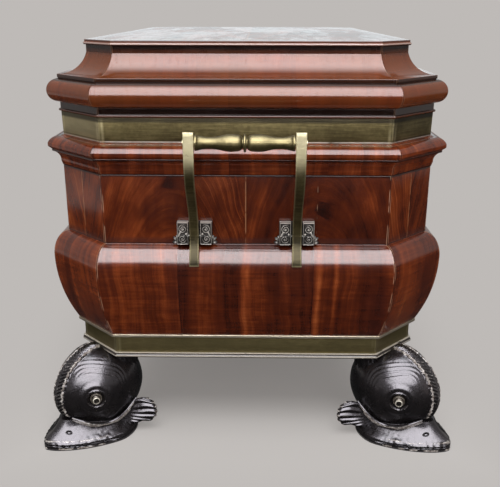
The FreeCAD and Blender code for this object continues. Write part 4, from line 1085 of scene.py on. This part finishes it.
def head_relief(f, l, z, rise):
    """Height and rub over the head: unevenness, eye dishes, folds of skin, the crest, and a painted
    highlight on each eye's lower rim.
    """
    height, rub = 0.25 * lumps(f, l, z, 9.0, 4), 0.0
    for hand in (-1, 1):
        point, look = eye_seat(hand)
        rel = stack(f, l, z) - point
        depth = rel @ look
        r = np.sqrt(np.maximum((rel**2).sum(-1) - depth**2, 0))
        near = (depth > -30).astype(float)
        dish = -4.2 * soft(r, 12.2, 10.2) + 1.3 * ridge(r, 13.4, 2.2) + 1.2 * ridge(r, 20, 7)
        height = height + near * dish
        # Painted highlight: the lower crescent of each eye's rim is made paler.
        rub = rub + near * 0.55 * ridge(r, 13.4, 1.6) * soft(-rel[..., 2], -6, 4)
        above = np.degrees(np.arctan2(rel[..., 2], -rel[..., 0] * 0.9))
        sector = soft(above, -10, 40) * soft(above, 118, 92)
        waver = r + 1.5 * np.sin(above / 9)
        fold = np.maximum(np.cos(2 * math.pi * waver / FOLD_PITCH), -0.5)
        band = soft(waver, 33, 38) * soft(waver, 58, 50)
        height = height + near * sector * band * fold * 0.5
        rub = rub + near * sector * band * soft(fold, 0.5, 1) * 0.2
    run = rise * 66
    side = np.abs(l)
    front = soft(f, 0, 6) * soft(run, -38, -26)
    border_at = 9.2 + 1.3 * np.abs(np.sin(math.pi * run / BORDER_PITCH))
    inside = soft(side, border_at + 1.6, border_at - 0.4)
    flutes = np.cos(2 * math.pi * (run / FLUTE_PITCH - side / 7.5))
    crest = inside * (2.2 + 0.85 * flutes * soft(side, border_at, border_at - 3))
    height = height + front * (crest + 1.4 * ridge(side, border_at - 1, 1.7))
    patchy = (0.7 + 0.45 * lumps(f, l, z, 2.4, 11)) * (1 + 0.35 * soft(run, 10, 50))
    worn = patchy * ridge(side, border_at - 0.8, 2.5) + inside * soft(flutes, 0.2, 1) * 0.5
    return height, rub + front * worn


def carve_head():
    rise = np.linspace(-math.pi / 2, math.pi / 2, 161)
    share = np.cos(rise)
    reach, middle = share * HEAD["length"], HEAD["forward"]
    f, l = egg(AROUND, middle + reach, reach - middle, share * HEAD["width"], middle, HEAD["point"])
    z = HEAD["rise"] + HEAD["height"] * np.sin(rise) + 0 * f
    height, rub = head_relief(f, l, z, rise + 0 * f)
    points = push(stack(f, l, z), height * soft(share, 0.0, 0.12))
    under_case = points[..., 0] < 2.5
    points[under_case, 2] = np.minimum(points[under_case, 2], FOOT_HEIGHT)
    return {"points": points, "rub": rub}


# %% [markdown]
# The bill has a thin lower jaw, a dark mouth line, and a lip that overhangs it. Its top rises in a
# shallow hollow to the head and has two nostrils. The rim was knocked and worn, so it wavers.


# %% Bill
def carve_bill():
    """Straight lines between five eggs, stepped finely where the mouth line is cut."""
    sections = [(105.5, 49.5, 63.5, 0, 1.45), (106, 50, 64, 5, 1.45), (106, 47, 62.5, 10, 1.45),
                (103, 44, 49, 17, 1.45), (75.5, 44, 29.05, 38.9, 2.0)]
    front, back, width, level, point = np.array(sections, float).T
    rings = stack(*egg(AROUND, front, back, width, 8.0, point), level)
    stops = np.interp(np.arange(57), [0, 11, 24, 30, 56], [0, 1, 2, 3, 4])
    k = np.minimum(stops.astype(int), 3)
    t = (stops - k)[:, None]
    grid = rings[:, k] * (1 - t) + rings[:, k + 1] * t
    f, l, z = grid[..., 0], grid[..., 1], grid[..., 2]
    front = soft(f, 10, 40)
    rim_part = soft(z, 4, 8) * soft(z, 20, 12)
    mouth = 6.0 + 2.2 * soft(f, 50, 98)
    height = -3.0 * front * ridge(z, mouth, 1.7) - 0.5 * front * soft(z, mouth - 1.2, mouth - 2.4)
    height = height - 2.4 * np.sin(math.pi * np.clip(stops - 3, 0, 1)) * soft(f, -10, 30)
    height = height + rim_part * (0.5 * lumps(f, l, z * 0, 2.6, 8) - 0.5) * front
    nostril = 0
    for hand in (-1, 1):
        ahead, aside = f - 76, l * hand - 20
        along, across = ahead * 0.75 - aside * 0.66, ahead * 0.66 + aside * 0.75
        nostril = nostril + soft(np.hypot(along / 4.0, across / 1.2), 1.4, 0.5) * (z > 17.5)
    grid = push(grid, height - 2.0 * nostril)
    waver = front * rim_part * 0.8 * lumps(f, l, z * 0, 5.0, 3)
    grid[..., 2] = np.maximum(grid[..., 2] + waver, 0)
    jaw = 0.9 * ridge(z, 3.0, 3.0) * soft(lumps(f, l, z, 4.0, 5), -0.6, 0.4)
    tip = 0.3 * soft(f, 96, 104) * soft(z, mouth, mouth + 3)
    rub = front * (jaw + 0.6 * ridge(z, mouth + 6.0, 1.6)) + tip + 0.05 - nostril
    return capped(grid, rub)


# %% [markdown]
# A doubled, rolled lip runs from the front of the cheek back to the fin. The fin is a fan that
# spreads from the corner of the mouth: P(r, u) = root + r * R(u) * out + lift(r, u) * up, for u from
# its foot to its tip, and it swells at every rib.


# %% Lips, fins and neck
LIP_STANDS_OUT = 3.0
FIN_TURN = math.radians(27)
FIN_REACH, FIN_HEIGHT = 50, 50
FIN_RIBS = 6.2
FIN_ROWS = 24


def carve_lip(hand, shift, radius):
    """A round roll along the cheek's foot: circles across a spline, tapering at both ends."""
    path = [(64, 16, 43), (54, 28.5, 38), (35, 35, 29), (15, 39.5, 26), (2, 46, 32), (-11, 51.5, 44),
            (-24, 52, 54)]
    line = spline(np.array(path, float) * (1, hand, 1), 70)
    tangent = unit(np.gradient(line, axis=0))
    outward = line - (HEAD["forward"], 0, HEAD["rise"])
    outward = unit(outward - tangent * (outward * tangent).sum(1, keepdims=True))
    aside = np.cross(tangent, outward) * hand
    turn = circle(14)[..., None]
    taper = np.sin(np.linspace(0.12, math.pi - 0.35, 70)) ** 0.5
    middle = line + aside * shift + outward * LIP_STANDS_OUT
    ring = (np.cos(turn) * outward + np.sin(turn) * aside) * (radius * taper)[:, None]
    return capped(middle + ring, 0.2 + 0.65 * soft(np.cos(turn[..., 0]), 0.25, 0.9))


def carve_fin(hand):
    """A ribbed fan with a front and a back: rows run outwards and back, and columns upwards."""
    up = np.linspace(0, 1, 77)
    r = np.concatenate([np.linspace(0, 1, FIN_ROWS), np.linspace(1, 0, FIN_ROWS)])[:, None]
    face = np.repeat([1, -1], FIN_ROWS)[:, None]
    phase = FIN_RIBS * (up + 0.16 * r**2 - 0.05 * np.sin(4.5 * r + 5 * up))
    ribs = np.cos(2 * math.pi * phase)
    reach = np.interp(up, [0, 0.04, 0.15, 0.39, 0.67, 0.89, 1], [0.4, 0.5, 0.84, 1, 1, 0.9, 0.72])
    out = FIN_REACH * reach * r * (1 + 0.022 * ribs * r)
    half = (5.0 - 1.8 * r) * np.sin(math.pi * up) ** 0.3
    thick = face * (half + 1.1 * ribs * soft(r, 0.0, 0.3)) * soft(r, 1.002, 0.95)
    ahead = thick - 6.0 * r**2 + 2.5 * np.sin(5 * r) * (1 - up)
    lift = FIN_HEIGHT * up * (1 - 0.08 * r - 0.3 * (1 - r) ** 2) + 1.5 * r
    s, c = math.sin(FIN_TURN), math.cos(FIN_TURN)
    points = stack(c * ahead - s * out - 12, hand * (c * out + s * ahead + 42), lift + 10)
    return capped(points, soft(ribs, 0.1, 1) * soft(r, 0.1, 0.8) * 0.35 + 0.35 * soft(r, 0.9, 1.0))


def carve_neck():
    """A fluted block behind the head, up to the frame."""
    level = np.array([73.2, 80, 88, 95, 101.6, 110, 120, 129, FOOT_HEIGHT])
    back = np.interp(level, [73.2, 101.6], [56, 62])
    width = np.interp(level, [73.2, 101.6], [38, 44])
    flutes = 1.3 * np.cos(AROUND * 22 + level / 9) - 1.2
    grid = push(stack(*egg(AROUND, 0, back, width, -62 / 3), level), flutes)
    grid[..., 2] = np.clip(grid[..., 2], 70, FOOT_HEIGHT)
    return capped(grid, 0.1)


# %% [markdown]
# All four feet are the same carving. Each is turned to face over its corner, and twisted by 2.5
# degrees, as the real ones were set by eye.

# %% Set the feet under the case
SIDE_OF_FOOT = {"right_front": 5, "right_back": 7, "left_front": 3, "left_back": 1}
FOOT_TWIST = 2.5
BASE_CORNERS = octagon(levels("base_moulding")[2] * MM)
STUD = [(-1, 0), (-1, 8.9), (1.6, 8.9), (2.6, 8.3), (3.0, 7.2), (2.4, 6.2), (2.4, 5.6), (3.6, 5.5),
        (4.0, 4.9), (4.7, 5.4), (5.2, 4.9), (5.9, 5.4), (6.5, 5.0), (7.3, 5.4), (9.2, 5.2), (9.9, 4.7),
        (9.9, 4.0), (9.0, 3.4), (7.2, 3.1), (7.2, 0)]
STUD_RUB = [0, 0.1, 0.2, 0.3, 0.4, 0.2, 0, 0.15, 0.3, 0.3, 0.3, 0.25, 0.2, 0.5, 0.8, 0.9, 0.4, 0, 0, 0]

local = [carve_head(), carve_bill(), carve_neck()]
for hand in (-1, 1):
    local += [carve_lip(hand, -3.5, 2.9), carve_lip(hand, 3.1, 3.2), carve_fin(hand)]


def placed(points, side):
    """From the foot's own millimetres to the case's metres: a turn in the plan, then a shift."""
    x, y = (BASE_CORNERS[side] + BASE_CORNERS[(side + 1) % 8]) / 2
    turn = math.radians(45 * side + FOOT_TWIST)
    c, s = math.cos(turn), math.sin(turn)
    return points * MM @ np.array([[c, s, 0], [-s, c, 0], [0, 0, 1]]) + (x, y, 0)


for corner_name, side in SIDE_OF_FOOT.items():
    grids = [{**grid, "points": placed(grid["points"], side)} for grid in local]
    piece(f"foot_{corner_name}_carved", grids, "ebonised_carving", "root", ["foot_" + corner_name], 50)
    studs = []
    for hand in (-1, 1):
        point, look = eye_seat(hand)
        turned = turned_form(STUD, point - look * 4, look, 40)
        studs.append({"points": placed(turned, side), "rub": STUD_RUB})
    piece(f"eyes_{corner_name}_turned", studs, "worn_gilt", "root", ["eyes_" + corner_name], 35)

# %% [markdown]
# ## Studio
#
# The floor is pale and plain. Light comes from a broad soft tent overhead and in front, so that each
# rounded moulding shows one long highlight. The tent is seen only by reflections, and the even
# light that the wood is seen by comes from the world and two large lamps.

# %% Floor and world
BACKDROP = (190, 186, 183)

turn = circle(96)
radius = np.array([0, 0.4, 0.8, 1.2, 1.8, 2.6, 4.0, 7.0])
points = stack(radius * np.cos(turn), radius * np.sin(turn) + 0.3, 0.0)
mesh = write_mesh("floor", points, quads(96, 8, True), {})
floor = show("floor", mesh)
print("floor:", len(mesh.polygons), "faces")

recipe = new_recipe("floor")
x, y, _ = recipe.place()
beyond = (abs(x) - 0.26).math("MAXIMUM", abs(y) - 0.41)
away = beyond.step(-0.12, 0.20) * 0.68 + 0.32
paper = recipe.node("BsdfDiffuse", {}, Color=BACKDROP)
glow = recipe.node("Emission", {}, Color=BACKDROP, Strength=1.0)
seen = recipe.node("LightPath", {}, out="Is Camera Ray")
recipe.node("OutputMaterial", {}, recipe.node("MixShader", {}, away * seen, paper, glow))
mesh.materials.append(FINISHES["floor"])

world = bpy.data.worlds.new("studio")
bpy.context.scene.world = world
recipe = Recipe(world)
kinds = ("Is Camera Ray", "Is Glossy Ray", "Is Transmission Ray")
rays = [recipe.node("LightPath", {}, out=kind) for kind in kinds]
seen = rays[0].math("MAXIMUM", rays[1]).math("MAXIMUM", rays[2])
backdrop = recipe.node("Background", {}, BACKDROP, 1.0)
room = recipe.node("Background", {}, (255, 255, 255), 0.6)
recipe.node("OutputWorld", {}, recipe.node("MixShader", {}, seen, room, backdrop))

# %% [markdown]
# The tunnel is a sheet that starts on the floor in front of the case, runs away from it, rises and
# arches over to the far side. Its lower front is black cloth, the arch from 10 degrees up is the
# light, and towards the far horizon the light falls off. Its strength depends on how far along the
# sheet a point lies, which is its map.

# %% The light tunnel
ARCH_RADIUS, ARCH_LEVEL = 3.2, 0.45
arch = round_part(0, ARCH_LEVEL, -ARCH_RADIUS, ARCH_RADIUS, 0, 180, 61)
along, height = np.array([(0.8, 0.003), (-1.2, 0.003), (-2.2, 0.003), (-3.2, 0.003), *arch]).T
degrees = np.array([-40, -30, -20, -10, *np.linspace(0, 180, 61)])
sides = np.array([-1, 1])[:, None]
half_wide = np.where((degrees < -5) & (sides > 0), 3.4, 1.4)
share_and_side = corner_values(stack(degrees / 180, sides), False)
points = stack(sides * half_wide, along, height)
mesh = write_mesh("tunnel", points, quads(2, len(along), False), {"size": [share_and_side]})
tunnel = show("tunnel", mesh)
tunnel.visible_camera = tunnel.visible_diffuse = False
tunnel.visible_shadow = tunnel.visible_transmission = False
print("tunnel:", len(mesh.polygons), "faces")

recipe = new_recipe("tunnel")
share, aside, _ = recipe.split(recipe.node("UVMap", {"uv_map": "size"}))
elevation = share * 180.0
far = elevation.step(60.0, 104.0)
power = 12.9 - far * 11.90 + elevation.step(174.6, 176.6) * 0.70
power = elevation.step(6.5, 12.5) * power * abs(aside).step(1.0, 0.76) + 0.03
tint = recipe.mix(far, (1, 0.99, 0.99, 1), (0.90, 0.97, 1.0, 1))
recipe.node("OutputMaterial", {}, recipe.node("Emission", {}, Color=tint, Strength=power))
mesh.materials.append(FINISHES["tunnel"])

# %% [markdown]
# Two soft lamps give the even light. A lamp and a camera both look along their own z axis,
# backwards, so the three axes and the place make up the matrix that sets one down.


# %% Lamps
def stand(name, data, place, axes):
    """A new object at a place, turned so that its x, y and z lie along three directions."""
    made = show(name, data)
    made.matrix_world = Matrix([[*row, p] for row, p in zip(np.stack(axes, 1), place)] + [[0, 0, 0, 1]])
    return made


def lamp(name, place, aim, size, watts):
    """A square soft lamp that looks from `place` at `aim`; it lights but isn't mirrored."""
    light = bpy.data.lights.new(name, "AREA")
    light.size, light.energy = size, watts
    z = unit(np.array(place) - aim)
    x = unit(np.cross((0, 1.0, 0.01), z))
    stand(name, light, place, (x, np.cross(z, x), z)).visible_glossy = False


lamp("overhead", (0.0, -1.5, 2.9), (0, 0, 0.3), 2.2, 80)
lamp("front", (0.4, -3.0, 1.3), (0, 0, 0.2), 2.0, 14)

# %% [markdown]
# ## Camera
#
# The camera stands 1.35 m in front of the middle of the case, a little above the lid, and looks down
# by 18 degrees. Its place and lens were worked out from the edges of the octagon.

# %% Camera
SENSOR = 36
FOCAL_SHARE = 707.2 / 500
EYE_POINT = (0.0175, -1.3544, 0.6245)
pitch, yaw, roll = np.radians([18.36, -0.70, -0.12])
level = np.array([math.cos(yaw), -math.sin(yaw), 0])
ahead = np.array([math.sin(yaw), math.cos(yaw), 0]) * math.cos(pitch) - (0, 0, math.sin(pitch))
down = np.cross(ahead, level)
right = math.cos(roll) * level + math.sin(roll) * down
up = math.sin(roll) * level - math.cos(roll) * down
lens = bpy.data.cameras.new("camera")
lens.sensor_width, lens.lens = SENSOR, SENSOR * FOCAL_SHARE
bpy.context.scene.camera = stand("camera", lens, EYE_POINT, (right, up, -ahead))
bpy.context.scene.view_settings.view_transform = "Standard"
print("camera: a lens of", round(lens.lens, 1), "mm")

# %% [markdown]
# ## Eased hardware
#
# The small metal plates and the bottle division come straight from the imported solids, but with dead
# sharp edges. A copy of each is merged, its flat faces are joined again, and a Bevel modifier
# takes a fine arris off, as a file does.


# %% Copies with eased arrises
SLOTS = {row["node"]: row["material_slot"] for row in frame["record"]["subparts"]}
EASED_ON_CASE = ("escutcheon", "body_hinge_leaves", "liner_capping", "divider_long_slats",
                 "divider_cross_slats")


def softened(node, body):
    """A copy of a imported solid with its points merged, its flat faces joined and its edges bevelled."""
    mesh = frame["nodes"][node].data.copy()
    mesh.materials.clear()
    merge(mesh, 2e-6, lambda work: bmesh.ops.dissolve_limit(
        work, angle_limit=0.01, verts=work.verts, edges=work.edges))
    slot = SLOTS[node]
    mesh.materials.append(FINISHES[slot])
    made = show(node + "_eased", mesh)
    bevel = made.modifiers.new("arris", "BEVEL")
    bevel.width, bevel.segments = 0.5 * MM, 2
    bevel.limit_method, bevel.angle_limit = "ANGLE", math.radians(35)
    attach(made, body)
    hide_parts(node)
    print(node, "eased, with", len(mesh.polygons), "flat faces")


for node in EASED_ON_CASE:
    softened(node, "root")
for node in ("lid_hinge_leaves", "lock_link_plate"):
    softened(node, "lid")

# %% [markdown]
# ## Last steps
#
# Every imported node that still shows gets the finish of its slot.

# %% Finishes for the imported nodes, and the end
for node, slot in SLOTS.items():
    materials = frame["nodes"][node].data.materials
    materials.clear()
    materials.append(FINISHES[slot])
